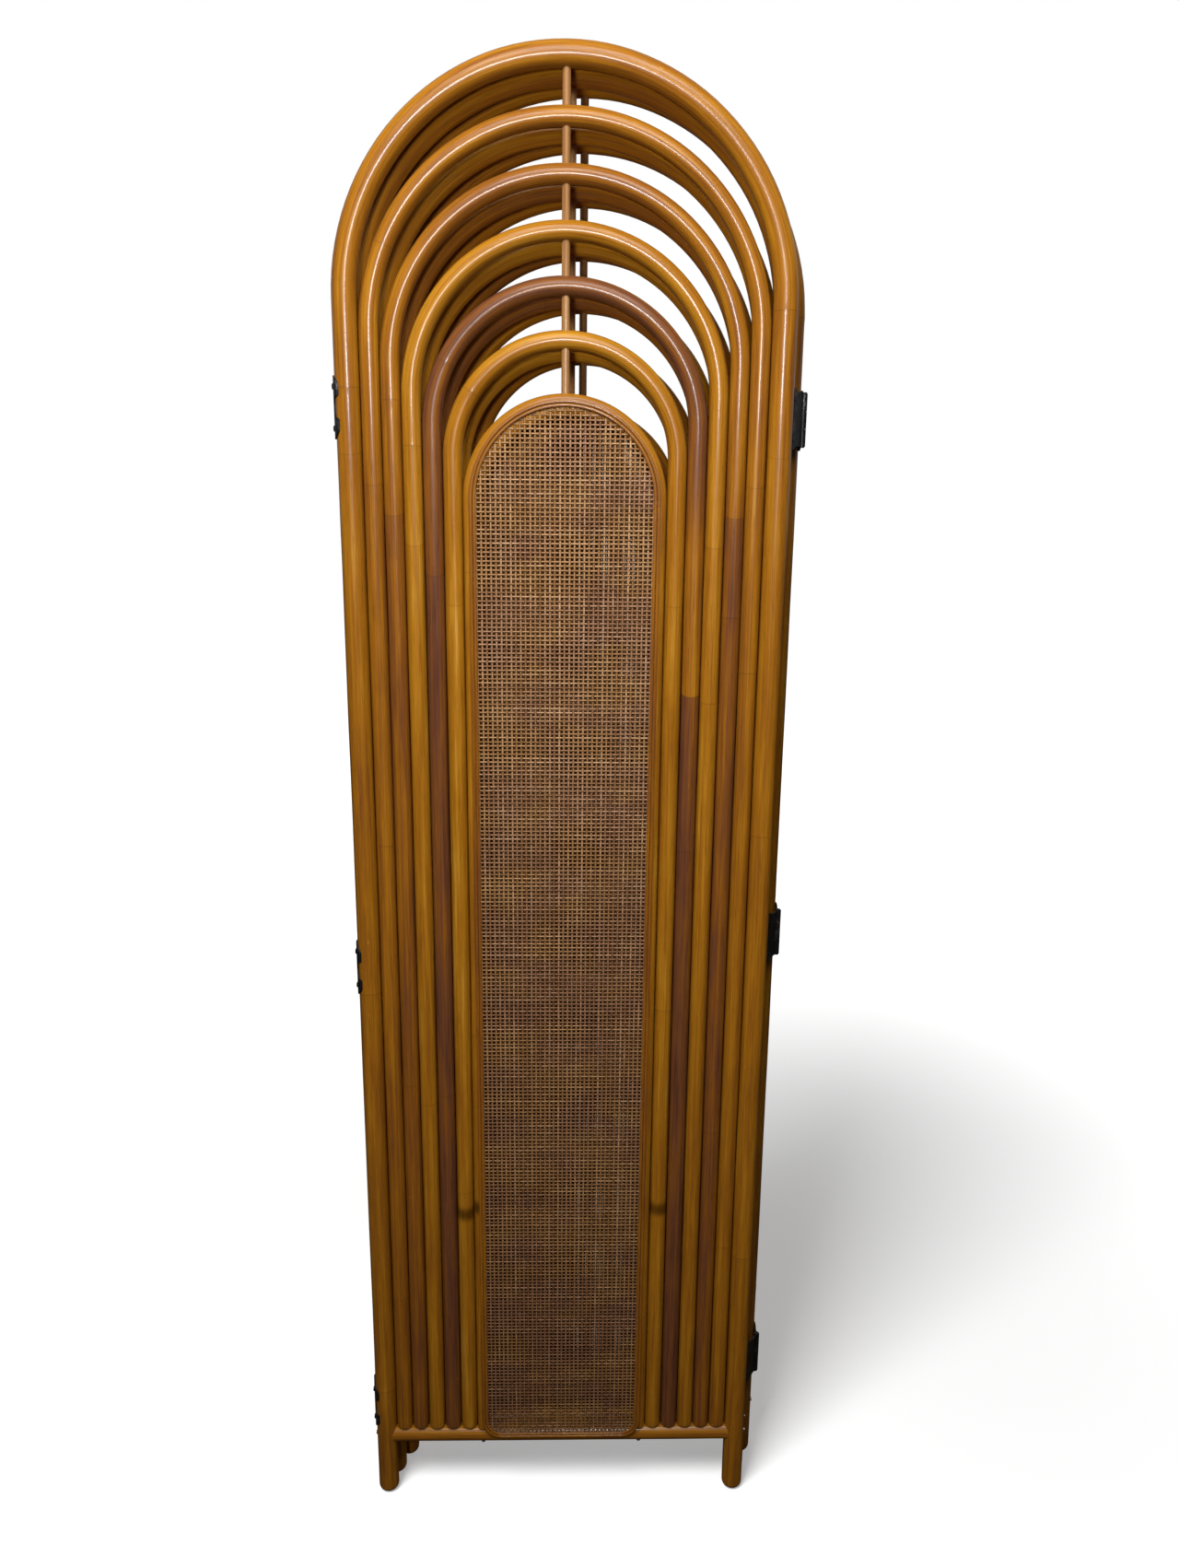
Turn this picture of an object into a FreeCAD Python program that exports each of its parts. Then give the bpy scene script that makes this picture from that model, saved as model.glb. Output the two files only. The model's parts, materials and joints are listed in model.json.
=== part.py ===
"""Arched rattan folding screen: three panels hinged in a zigzag and folded flat.

Every panel is one thick pole bent to an arch, five thinner poles nested inside it,
short spindles between their crowns, a bottom rail that all the pole ends are coped
onto, and a cane-webbed insert. Each pole is a bent bow spliced onto two straight legs.
Butterfly hinges on the posts join the panels: on the left the front and the middle
one, on the right the middle and the back one.
Millimetres. +X to the right, +Y to the back, +Z up, with the feet on Z = 0 and the
origin under the middle of the folded stack.
"""
import FreeCAD, Part

import math
import os

Vector = FreeCAD.Vector

# Outer frame of a panel
PANEL_WIDTH = 480.0
POST_DIAMETER = 26.0
CROWN_ABOVE_RAIL = 1613.0       # outer pole's axis at the crown, above the rail's axis
FOOT_ROUNDING = 8.0

# Nested inner poles, counted inwards from the outer frame
INNER_POLES = 5
POLE_DIAMETER = 20.5
POLE_SIDE_GAP = 0.5             # between poles that run side by side
CROWN_GAP = 32.0                # clear height between two crowns
SPINDLE_DIAMETER = 8.5

# Splices between the bent bow of a pole and its two straight legs
BOW_TAIL = 150.0                # straight tail of a bow, below its bend
LONG_BOW_TAIL = 280.0           # right-hand tail of the last pole but one
SPLICE_SLOPE = 20.0             # degrees that a splice is sawn off square

# Bottom rail
RAIL_DIAMETER = 22.0
FRONT_RAIL_HEIGHT = 86.0        # rail's axis above the floor
REAR_RAIL_HEIGHT = 78.0         # the middle and back panels have shorter legs

# Insert: a bent rod with cane webbing on its front, edged with split cane
ROD_DIAMETER = 14.0
INSERT_CROWN_GAP = 42.0         # clear height between the last crown and the rod
WEB_THICKNESS = 2.0
WEB_ABOVE_RAIL_AXIS = 2.0       # lower edge of the webbing, on the front of the rail
WEB_CORNER_RADIUS = 25.0
WEB_OPENINGS_ACROSS = 8         # of the coarse mesh that stands for the weave
WEB_OPENING = 7.5
WEB_MARGIN = 12.0               # plain edge round the mesh
BINDING_STRANDS = 2
STRAND_WIDTH = 3.3
STRAND_GAP = 0.4                # between two strands of the binding
BINDING_THICKNESS = 1.5
BINDING_ROUNDING = 1.1

# Nails through the rail into the poles, and through the posts into the rail
NAIL_DIAMETER = 2.2
NAIL_LENGTH = 40.0
NAIL_HEAD_DIAMETER = 5.0
NAIL_HEAD_HEIGHT = 1.2

# Folded stack
PANEL_PITCH = 31.0              # from one panel's middle plane to the next
MIDDLE_SHIFT = 6.0              # middle panel to the right of the front one
BACK_SHIFT = 13.0               # back panel to the right of the middle one

# Butterfly hinges
BARREL_LENGTH = 56.0
BARREL_DIAMETER = 7.5
PIN_DIAMETER = 3.5
PIN_HEAD_DIAMETER = 6.0
PIN_HEAD_HEIGHT = 1.0
LEAF_THICKNESS = 1.5
LEAF_WRAP = 60.0                # degrees that a wing is wrapped round its post
LOBE_RADIUS = 11.0
LOBE_SPACING = 42.0             # between the two screws of a wing
NOTCH_RADIUS = 12.0             # scallop in the wing's edge, between the lobes
NOTCH_DEPTH = 9.0               # how far the scallop reaches in from the lobes' ends
SCREW_DIAMETER = 3.0
SCREW_LENGTH = 14.0
SCREW_HEAD_DIAMETER = 6.4
SCREW_HEAD_HEIGHT = 1.2
SCREW_HEAD_ROUNDING = 0.7
HINGE_LEVELS = ("lower", "centre", "upper")
LEFT_HINGE_HEIGHTS = (132.0, 737.0, 1365.0)
RIGHT_HINGE_HEIGHTS = (167.0, 765.0, 1360.0)

# Clearances
SEAT_GAP = 0.15                 # glue line of a coped or seated joint
HOLE_CLEARANCE = 0.05           # radial, round nails, screws and hinge pins
KNUCKLE_GAP = 0.4               # between two knuckles
KNUCKLE_RELIEF = 2.5            # radial, round the other leaf's knuckles, so the leaves can close

# Worked out from the sizes above
POST_RADIUS = POST_DIAMETER / 2
POLE_RADIUS = POLE_DIAMETER / 2
RAIL_RADIUS = RAIL_DIAMETER / 2
ROD_RADIUS = ROD_DIAMETER / 2
SPINDLE_RADIUS = SPINDLE_DIAMETER / 2
BARREL_RADIUS = BARREL_DIAMETER / 2
PIN_RADIUS = PIN_DIAMETER / 2
POST_OFFSET = PANEL_WIDTH / 2 - POST_RADIUS
ROD_OFFSET = (POST_OFFSET - POST_RADIUS - INNER_POLES * (POLE_DIAMETER + POLE_SIDE_GAP)
              - POLE_SIDE_GAP - ROD_RADIUS)
ROD_DEPTH = ROD_RADIUS - RAIL_RADIUS            # brings the rod's front level with the rail's
WEB_BACK = -RAIL_RADIUS - SEAT_GAP
WEB_FRONT = WEB_BACK - WEB_THICKNESS
BINDING_BACK = WEB_FRONT - SEAT_GAP
BINDING_FRONT = BINDING_BACK - BINDING_THICKNESS
LEAF_OFFSET = POST_RADIUS + SEAT_GAP + LEAF_THICKNESS / 2    # leaf's middle from a post's axis
BACK_TOTAL_SHIFT = MIDDLE_SHIFT + BACK_SHIFT
ORIGIN_X = BACK_TOTAL_SHIFT / 2
ORIGIN_Y = (min(BINDING_FRONT, -POST_RADIUS) + 2 * PANEL_PITCH + POST_RADIUS) / 2
FRONT_CENTRE = Vector(-ORIGIN_X, -ORIGIN_Y, 0)
MIDDLE_CENTRE = Vector(MIDDLE_SHIFT - ORIGIN_X, PANEL_PITCH - ORIGIN_Y, 0)
BACK_CENTRE = Vector(BACK_TOTAL_SHIFT - ORIGIN_X, 2 * PANEL_PITCH - ORIGIN_Y, 0)
UP = Vector(0, 0, 1)
ACROSS = Vector(1, 0, 0)


def round_bar(radius, start, end):
    """A straight round bar between two points."""
    return Part.makeCylinder(radius, (end - start).Length, start, end - start)


def bent_pole(offset, crown, foot, radius, depth=0.0):
    """A round pole bent to a half circle over two straight legs."""
    spring = crown - offset
    left_foot = Vector(-offset, depth, foot)
    left_spring = Vector(-offset, depth, spring)
    right_spring = Vector(offset, depth, spring)
    path = Part.Wire([
        Part.LineSegment(left_foot, left_spring).toShape(),
        Part.Arc(left_spring, Vector(0, depth, crown), right_spring).toShape(),
        Part.LineSegment(right_spring, Vector(offset, depth, foot)).toShape(),
    ])
    section = Part.Wire(Part.makeCircle(radius, left_foot, UP))
    return path.makePipeShell([section], True, True)


def spliced(pole, number, rail_height):
    """A pole sawn into a bow and two legs, with a glue line at each slanted splice."""
    offset, crown, radius = pole_layout(rail_height)[number]
    tails = {-1: BOW_TAIL, 1: LONG_BOW_TAIL if number == INNER_POLES - 1 else BOW_TAIL}
    size = 4 * radius
    for side, tail in tails.items():
        kerf = Part.makeBox(size, size, SEAT_GAP, Vector(-size / 2, -size / 2, -SEAT_GAP / 2))
        kerf.Placement = FreeCAD.Placement(Vector(side * offset, 0, crown - offset - tail),
                                           FreeCAD.Rotation(ACROSS, SPLICE_SLOPE))
        pole = pole.cut(kerf)
    return pole


def rail_cope(rail_height):
    """The space that the bottom rail and its glue line take out of the pole ends."""
    half = Vector(PANEL_WIDTH / 2, 0, 0)
    axis = Vector(0, 0, rail_height)
    return round_bar(RAIL_RADIUS + SEAT_GAP, axis - half, axis + half)


def pole_layout(rail_height):
    """Offset, crown height and radius of the outer frame and the inner poles, from outside in."""
    layout = [(POST_OFFSET, rail_height + CROWN_ABOVE_RAIL, POST_RADIUS)]
    for _ in range(INNER_POLES):
        offset, crown, radius = layout[-1]
        layout.append((offset - radius - POLE_SIDE_GAP - POLE_RADIUS,
                       crown - radius - CROWN_GAP - POLE_RADIUS,
                       POLE_RADIUS))
    return layout


def rod_crown(rail_height):
    """Height of the insert rod's axis at its crown."""
    _, crown, radius = pole_layout(rail_height)[-1]
    return crown - radius - INSERT_CROWN_GAP - ROD_RADIUS


def outer_frame(rail_height):
    """The thick outer pole, with rounded feet, spliced below its bend."""
    offset, crown, radius = pole_layout(rail_height)[0]
    frame = bent_pole(offset, crown, 0.0, radius)
    feet = [edge for edge in frame.Edges
            if edge.BoundBox.ZMax < FOOT_ROUNDING and len(edge.Vertexes) == 1]
    return spliced(frame.makeFillet(FOOT_ROUNDING, feet), 0, rail_height)


def inner_pole(number, rail_height):
    """One nested pole, coped onto the bottom rail and spliced below its bend."""
    offset, crown, radius = pole_layout(rail_height)[number]
    pole = bent_pole(offset, crown, rail_height, radius).cut(rail_cope(rail_height))
    return spliced(pole, number, rail_height)


def insert_rod(rail_height):
    """The bent rod that carries the webbing, coped onto the bottom rail."""
    rod = bent_pole(ROD_OFFSET, rod_crown(rail_height), rail_height, ROD_RADIUS, ROD_DEPTH)
    return rod.cut(rail_cope(rail_height))


def bottom_rail(rail_height):
    """The straight rail between the posts, coped onto both of them."""
    reach = Vector(POST_OFFSET, 0, 0)
    axis = Vector(0, 0, rail_height)
    rail = round_bar(RAIL_RADIUS, axis - reach, axis + reach)
    for side in (-1, 1):
        foot = Vector(side * POST_OFFSET, 0, rail_height - POST_DIAMETER)
        rail = rail.cut(round_bar(POST_RADIUS + SEAT_GAP, foot, foot + UP * 2 * POST_DIAMETER))
    return rail


def spindle(depth, top, top_radius, foot, foot_radius, foot_depth):
    """A short upright between two crowns, coped onto both."""
    bar = round_bar(SPINDLE_RADIUS, Vector(0, depth, foot), Vector(0, depth, top))
    reach = Vector(SPINDLE_DIAMETER, 0, 0)
    for axis, radius in ((Vector(0, 0, top), top_radius), (Vector(0, foot_depth, foot), foot_radius)):
        bar = bar.cut(round_bar(radius + SEAT_GAP, axis - reach, axis + reach))
    return bar


def spindles(rail_height):
    """The spindles of one panel: one below each crown, the last one down to the insert rod."""
    crowns = [(crown, radius, 0.0) for _, crown, radius in pole_layout(rail_height)]
    crowns.append((rod_crown(rail_height), ROD_RADIUS, ROD_DEPTH))
    bars = []
    for (top, top_radius, _), (foot, foot_radius, foot_depth) in zip(crowns, crowns[1:]):
        bars.append(spindle(foot_depth / 2, top, top_radius, foot, foot_radius, foot_depth))
    return Part.makeCompound(bars)


def insert_face(rail_height, inset, depth):
    """The insert's arched outline, drawn in by an inset, as a flat face at a depth."""
    half = ROD_OFFSET - inset
    low = rail_height + WEB_ABOVE_RAIL_AXIS + inset
    spring = rod_crown(rail_height) - ROD_OFFSET
    corner = WEB_CORNER_RADIUS - inset
    cut = corner * (1 - math.sqrt(0.5))

    def at(x, z):
        return Vector(x, depth, z)

    edges = [
        Part.Arc(at(-half, spring), at(0, spring + half), at(half, spring)),
        Part.LineSegment(at(half, spring), at(half, low + corner)),
        Part.Arc(at(half, low + corner), at(half - cut, low + cut), at(half - corner, low)),
        Part.LineSegment(at(half - corner, low), at(corner - half, low)),
        Part.Arc(at(corner - half, low), at(cut - half, low + cut), at(-half, low + corner)),
        Part.LineSegment(at(-half, low + corner), at(-half, spring)),
    ]
    return Part.Face(Part.Wire([edge.toShape() for edge in edges]))


def mesh_openings(rail_height):
    """Square outlines of the webbing's openings, in a plain grid inside its arch."""
    half = ROD_OFFSET - WEB_MARGIN
    low = rail_height + WEB_ABOVE_RAIL_AXIS + WEB_MARGIN
    spring = rod_crown(rail_height) - ROD_OFFSET
    pitch = 2 * half / WEB_OPENINGS_ACROSS
    openings = []
    for row in range(int((spring + half - low) / pitch)):
        foot = low + (row + 0.5) * pitch - WEB_OPENING / 2
        head = foot + WEB_OPENING
        for column in range(WEB_OPENINGS_ACROSS):
            left = (column + 0.5) * pitch - half - WEB_OPENING / 2
            right = left + WEB_OPENING
            if math.hypot(max(-left, right), max(head - spring, 0)) > half:
                continue
            corners = [(left, foot), (right, foot), (right, head), (left, head), (left, foot)]
            openings.append(Part.makePolygon([Vector(x, WEB_BACK, z) for x, z in corners]))
    return openings


def webbing(rail_height):
    """The cane webbing, as a sheet with a coarse mesh on the front of the rod and the rail."""
    outline = insert_face(rail_height, 0.0, WEB_BACK).OuterWire
    sheet = Part.makeFace([outline, *mesh_openings(rail_height)], "Part::FaceMakerBullseye")
    return sheet.extrude(Vector(0, -WEB_THICKNESS, 0))


def binding_strand(rail_height, inset):
    """One split-cane strand along the webbing's edge, rounded on its face."""
    out = Vector(0, -BINDING_THICKNESS, 0)
    outer = insert_face(rail_height, inset, BINDING_BACK).extrude(out)
    inner = insert_face(rail_height, inset + STRAND_WIDTH, BINDING_BACK).extrude(out)
    strand = outer.cut(inner)
    middle = BINDING_BACK - BINDING_THICKNESS / 2
    face_edges = [edge for edge in strand.Edges if edge.BoundBox.YMax < middle]
    return strand.makeFillet(BINDING_ROUNDING, face_edges)


def binding(rail_height):
    """The strands that cover the webbing's edge, side by side."""
    insets = [number * (STRAND_WIDTH + STRAND_GAP) for number in range(BINDING_STRANDS)]
    return Part.makeCompound([binding_strand(rail_height, inset) for inset in insets])


def nail(head_seat, direction, clearance=0.0):
    """A round nail driven along a direction from the seat of its head."""
    shank = round_bar(NAIL_DIAMETER / 2 + clearance, head_seat,
                      head_seat + direction * (NAIL_LENGTH + clearance))
    head = round_bar(NAIL_HEAD_DIAMETER / 2 + clearance,
                     head_seat - direction * NAIL_HEAD_HEIGHT, head_seat + direction * clearance)
    return shank.fuse(head).removeSplitter()


def nail_places(rail_height):
    """Head seats and directions of a panel's nails."""
    legs = [(offset, 0.0) for offset, _, _ in pole_layout(rail_height)[1:]]
    legs.append((ROD_OFFSET, ROD_DEPTH))
    places = []
    for side in (-1, 1):
        for offset, depth in legs:
            under = rail_height - math.sqrt(RAIL_RADIUS ** 2 - depth ** 2)
            places.append((Vector(side * offset, depth, under), UP))
        places.append((Vector(side * PANEL_WIDTH / 2, 0, rail_height), ACROSS * -side))
    return places


def nailed(shape, rail_height):
    """A piece with the holes of the nails that pass through it."""
    for seat, direction in nail_places(rail_height):
        hole = nail(seat, direction, HOLE_CLEARANCE)
        if hole.BoundBox.intersect(shape.BoundBox):
            shape = shape.cut(hole)
    return shape


def panel_pieces(rail_height):
    """The solids of one panel in the panel's own frame, webbing towards -Y."""
    pieces = {
        "outer_frame": nailed(outer_frame(rail_height), rail_height),
        "bottom_rail": nailed(bottom_rail(rail_height), rail_height),
        "insert_rod": nailed(insert_rod(rail_height), rail_height),
        "spindles": spindles(rail_height),
        "webbing": webbing(rail_height),
        "binding": binding(rail_height),
        "rail_nails": Part.makeCompound([nail(*place) for place in nail_places(rail_height)]),
    }
    for number in range(1, INNER_POLES + 1):
        pieces[f"arch_{number + 1}"] = nailed(inner_pole(number, rail_height), rail_height)
    return pieces


def place(shape, centre, turned):
    """A panel's piece in the folded stack, turned about when the panel faces the back."""
    turn = FreeCAD.Rotation(UP, 180.0 if turned else 0.0)
    placed = shape.copy()
    placed.Placement = FreeCAD.Placement(centre, turn).multiply(shape.Placement)
    return placed


class Leaf:
    """One butterfly leaf, from a hinge pin to the outer side of a post.

    Its own frame has U along the flat part towards the pin, N outwards from the post's
    axis and the post's axis as origin, so that the wing wraps the post below U = 0.
    """

    def __init__(self, post, pin, turn):
        to_pin = pin - post
        swing = math.degrees(math.acos(LEAF_OFFSET / to_pin.Length))
        self.normal = FreeCAD.Rotation(UP, turn * swing).multVec(to_pin).normalize()
        along = to_pin - self.normal * LEAF_OFFSET
        self.reach = along.Length
        self.along = along.normalize()
        self.post = post

    def placement(self, height):
        """From the leaf's own frame to the stack, at a height."""
        up = self.along.cross(self.normal)
        matrix = FreeCAD.Matrix(
            self.along.x, self.normal.x, up.x, self.post.x,
            self.along.y, self.normal.y, up.y, self.post.y,
            self.along.z, self.normal.z, up.z, height,
            0, 0, 0, 1)
        return FreeCAD.Placement(matrix)

    def strip(self):
        """The bent plate before its outline is cut: flat to the pin, wrapped round the post."""
        inner = LEAF_OFFSET - LEAF_THICKNESS / 2
        outer = LEAF_OFFSET + LEAF_THICKNESS / 2
        tall = LOBE_SPACING + 2 * LOBE_RADIUS

        def at(degrees, radius):
            angle = math.radians(degrees)
            return Vector(-radius * math.sin(angle), radius * math.cos(angle), -tall / 2)

        edges = [
            Part.LineSegment(at(0, inner) + ACROSS * self.reach, at(0, inner)),
            Part.Arc(at(0, inner), at(LEAF_WRAP / 2, inner), at(LEAF_WRAP, inner)),
            Part.LineSegment(at(LEAF_WRAP, inner), at(LEAF_WRAP, outer)),
            Part.Arc(at(LEAF_WRAP, outer), at(LEAF_WRAP / 2, outer), at(0, outer)),
            Part.LineSegment(at(0, outer), at(0, outer) + ACROSS * self.reach),
            Part.LineSegment(at(0, outer) + ACROSS * self.reach, at(0, inner) + ACROSS * self.reach),
        ]
        return Part.Face(Part.Wire([edge.toShape() for edge in edges])).extrude(UP * tall)

    def outline(self):
        """The butterfly outline: two round lobes, the scallop between them and the root."""
        through = 2 * LEAF_OFFSET
        across = Vector(0, through, 0)
        root = Part.makeBox(self.reach, through, BARREL_LENGTH, Vector(0, 0, -BARREL_LENGTH / 2))
        web = Part.makeBox(LOBE_RADIUS, through, LOBE_SPACING,
                           Vector(-LOBE_RADIUS, 0, -LOBE_SPACING / 2))
        shape = root.fuse(web)
        for side in (-1, 1):
            centre = Vector(0, 0, side * LOBE_SPACING / 2)
            shape = shape.fuse(round_bar(LOBE_RADIUS, centre, centre + across))
        notch = Vector(NOTCH_DEPTH - LOBE_RADIUS - NOTCH_RADIUS, 0, 0)
        return shape.cut(round_bar(NOTCH_RADIUS, notch, notch + across))

    def solid(self, own_knuckles, height):
        """The finished leaf with its knuckles, pin bore and screw holes."""
        axis = Vector(self.reach, LEAF_OFFSET, 0)
        knuckle = BARREL_LENGTH / 3
        leaf = self.strip().common(self.outline())
        for number in range(3):
            low = axis + UP * (number * knuckle - BARREL_LENGTH / 2)
            if number in own_knuckles:
                leaf = leaf.fuse(round_bar(BARREL_RADIUS, low + UP * KNUCKLE_GAP / 2,
                                           low + UP * (knuckle - KNUCKLE_GAP / 2)))
            else:
                leaf = leaf.cut(round_bar(BARREL_RADIUS + KNUCKLE_RELIEF, low - UP * KNUCKLE_GAP / 2,
                                          low + UP * (knuckle + KNUCKLE_GAP / 2)))
        end = UP * BARREL_LENGTH
        leaf = leaf.cut(round_bar(PIN_RADIUS + HOLE_CLEARANCE, axis - end, axis + end))
        for side in (-1, 1):
            leaf = leaf.cut(self.screw(side, HOLE_CLEARANCE))
        leaf = leaf.removeSplitter()
        leaf.Placement = self.placement(height)
        return leaf

    def screw(self, side, clearance=0.0):
        """One screw in the leaf's own frame, its head on the outside of a lobe."""
        seat = Vector(0, LEAF_OFFSET + LEAF_THICKNESS / 2, side * LOBE_SPACING / 2)
        inwards = Vector(0, -1, 0)
        head = round_bar(SCREW_HEAD_DIAMETER / 2, seat, seat - inwards * SCREW_HEAD_HEIGHT)
        rim = [edge for edge in head.Edges if edge.BoundBox.YMin > seat.y + SCREW_HEAD_HEIGHT / 2]
        head = head.makeFillet(SCREW_HEAD_ROUNDING, rim)
        shank = round_bar(SCREW_DIAMETER / 2 + clearance, seat,
                          seat + inwards * (SCREW_LENGTH + clearance))
        return head.fuse(shank).removeSplitter()

    def screws(self, height, clearance=0.0):
        """Both screws of the leaf, in the stack."""
        placed = []
        for side in (-1, 1):
            screw = self.screw(side, clearance)
            screw.Placement = self.placement(height)
            placed.append(screw)
        return placed


def hinge_pin(place_xy, height):
    """A headed pin through the knuckles."""
    low = place_xy + UP * (height - BARREL_LENGTH / 2)
    high = low + UP * BARREL_LENGTH
    pin = round_bar(PIN_RADIUS, low, high)
    pin = pin.fuse(round_bar(PIN_HEAD_DIAMETER / 2, high, high + UP * PIN_HEAD_HEIGHT))
    pin = pin.fuse(round_bar(PIN_HEAD_DIAMETER / 2, low - UP * PIN_HEAD_HEIGHT, low))
    return pin.removeSplitter()


def post(centre, side):
    """A post's axis in plan, on the left (-1) or the right (1) of a panel."""
    return centre + ACROSS * (side * POST_OFFSET)


def pin_between(outer_post, side):
    """A hinge pin's axis in plan: beside the outermost post, midway to the next panel."""
    step = PANEL_PITCH / 2 * -side
    return outer_post + Vector(side * LEAF_OFFSET, step, 0)


def hinge_line(side, end_panel, end_centre, heights, pin_panel):
    """The three hinges on one side of the stack, with their screws by panel."""
    name = "left" if side < 0 else "right"
    end_post = post(end_centre, side)
    pin = pin_between(end_post, side)
    leaves = {end_panel: Leaf(end_post, pin, 1), "middle": Leaf(post(MIDDLE_CENTRE, side), pin, -1)}
    pieces = {}
    screws = {panel: [] for panel in leaves}
    holes = {panel: [] for panel in leaves}
    for level, height in zip(HINGE_LEVELS, heights):
        for panel, leaf in leaves.items():
            knuckles = (0, 2) if panel == pin_panel else (1,)
            pieces[f"{name}_{level}_{panel}_leaf"] = leaf.solid(knuckles, height)
            screws[panel] += leaf.screws(height)
            holes[panel] += leaf.screws(height, HOLE_CLEARANCE)
        pieces[f"{name}_{level}_pin"] = hinge_pin(pin, height)
    for panel, group in screws.items():
        pieces[f"{name}_{panel}_screws"] = Part.makeCompound(group)
    print(f"{name} hinge axis x {pin.x:.3f} y {pin.y:.3f}")
    return pieces, holes


def build():
    """All pieces of the folded screen by node name."""
    front = panel_pieces(FRONT_RAIL_HEIGHT)
    rear = panel_pieces(REAR_RAIL_HEIGHT)
    nodes = {}
    for panel, pieces, centre, turned in (("front", front, FRONT_CENTRE, False),
                                          ("middle", rear, MIDDLE_CENTRE, True),
                                          ("back", rear, BACK_CENTRE, False)):
        for name, shape in pieces.items():
            nodes[f"{panel}_{name}"] = place(shape, centre, turned)
    for side, end_panel, end_centre, heights, pin_panel in (
            (-1, "front", FRONT_CENTRE, LEFT_HINGE_HEIGHTS, "front"),
            (1, "back", BACK_CENTRE, RIGHT_HINGE_HEIGHTS, "middle")):
        pieces, holes = hinge_line(side, end_panel, end_centre, heights, pin_panel)
        nodes.update(pieces)
        for panel, drilled in holes.items():
            frame = f"{panel}_outer_frame"
            nodes[frame] = nodes[frame].cut(Part.makeCompound(drilled))
    return nodes


os.makedirs("parts", exist_ok=True)
for node, solid in build().items():
    solid.exportStep(f"parts/{node}.step")
    print(node, len(solid.Solids), "solids, valid" if solid.isValid() else "solids, NOT VALID")
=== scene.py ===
"""Looks of an arched rattan folding screen: three hinged panels of nested bent poles with cane inserts."""

import json
import logging
import math
import random
from dataclasses import dataclass, field
from enum import Enum
from typing import Iterable, Optional

import bpy
from bpy.types import Collection, Material, Mesh, Node, NodeSocket, NodeTree, Object
from mathutils import Matrix, Vector

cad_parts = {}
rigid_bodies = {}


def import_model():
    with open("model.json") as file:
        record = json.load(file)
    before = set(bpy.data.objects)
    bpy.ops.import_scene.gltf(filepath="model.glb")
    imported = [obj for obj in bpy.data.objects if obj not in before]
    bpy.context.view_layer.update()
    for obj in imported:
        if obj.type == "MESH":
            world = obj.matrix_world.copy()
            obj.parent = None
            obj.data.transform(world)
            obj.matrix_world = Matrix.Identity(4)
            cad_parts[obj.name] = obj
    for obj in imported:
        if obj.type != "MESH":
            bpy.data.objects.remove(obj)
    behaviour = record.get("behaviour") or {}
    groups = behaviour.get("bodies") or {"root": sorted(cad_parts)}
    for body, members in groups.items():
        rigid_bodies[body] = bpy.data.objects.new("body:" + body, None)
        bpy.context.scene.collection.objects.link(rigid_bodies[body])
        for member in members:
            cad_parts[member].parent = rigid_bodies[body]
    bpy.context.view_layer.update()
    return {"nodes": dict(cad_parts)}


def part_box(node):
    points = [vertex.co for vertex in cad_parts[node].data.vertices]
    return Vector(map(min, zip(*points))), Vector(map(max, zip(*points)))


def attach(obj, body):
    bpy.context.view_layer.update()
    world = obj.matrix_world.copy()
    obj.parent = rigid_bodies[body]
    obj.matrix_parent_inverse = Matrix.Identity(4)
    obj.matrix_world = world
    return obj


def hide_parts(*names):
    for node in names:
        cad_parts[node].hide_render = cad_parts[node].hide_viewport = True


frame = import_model()

log = logging.getLogger("rattan_screen")
Triple = tuple[float, float, float]
Stops = tuple[tuple[float, Triple], ...]
TO_FRONT = (0.0, -1.0, 0.0)
# The slant of a splice, and the distances past which a splice, a growth ring or a knot no longer shows.
SPLICE_SLOPE = math.tan(math.radians(20.0))
FAR_SPLICE = 0.05
FAR_MARK = 0.03
# How far a coped end sinks into the piece that it meets.
SEATING = 0.0002


@dataclass(frozen=True)
class Value:
    """A node's output that takes plain arithmetic, each step of which adds a math node."""

    nodes: "Nodes"
    socket: NodeSocket

    def __add__(self, other: object) -> "Value":
        """The sum with a number or another output."""
        return self.nodes.math("ADD", self, other)

    def __sub__(self, other: object) -> "Value":
        """This less a number or another output."""
        return self.nodes.math("SUBTRACT", self, other)

    def __rsub__(self, other: float) -> "Value":
        """A number less this."""
        return self.nodes.math("SUBTRACT", other, self)

    def __mul__(self, other: object) -> "Value":
        """The product with a number or another output."""
        return self.nodes.math("MULTIPLY", self, other)

    def __truediv__(self, other: object) -> "Value":
        """This over a number or another output."""
        return self.nodes.math("DIVIDE", self, other)


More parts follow.
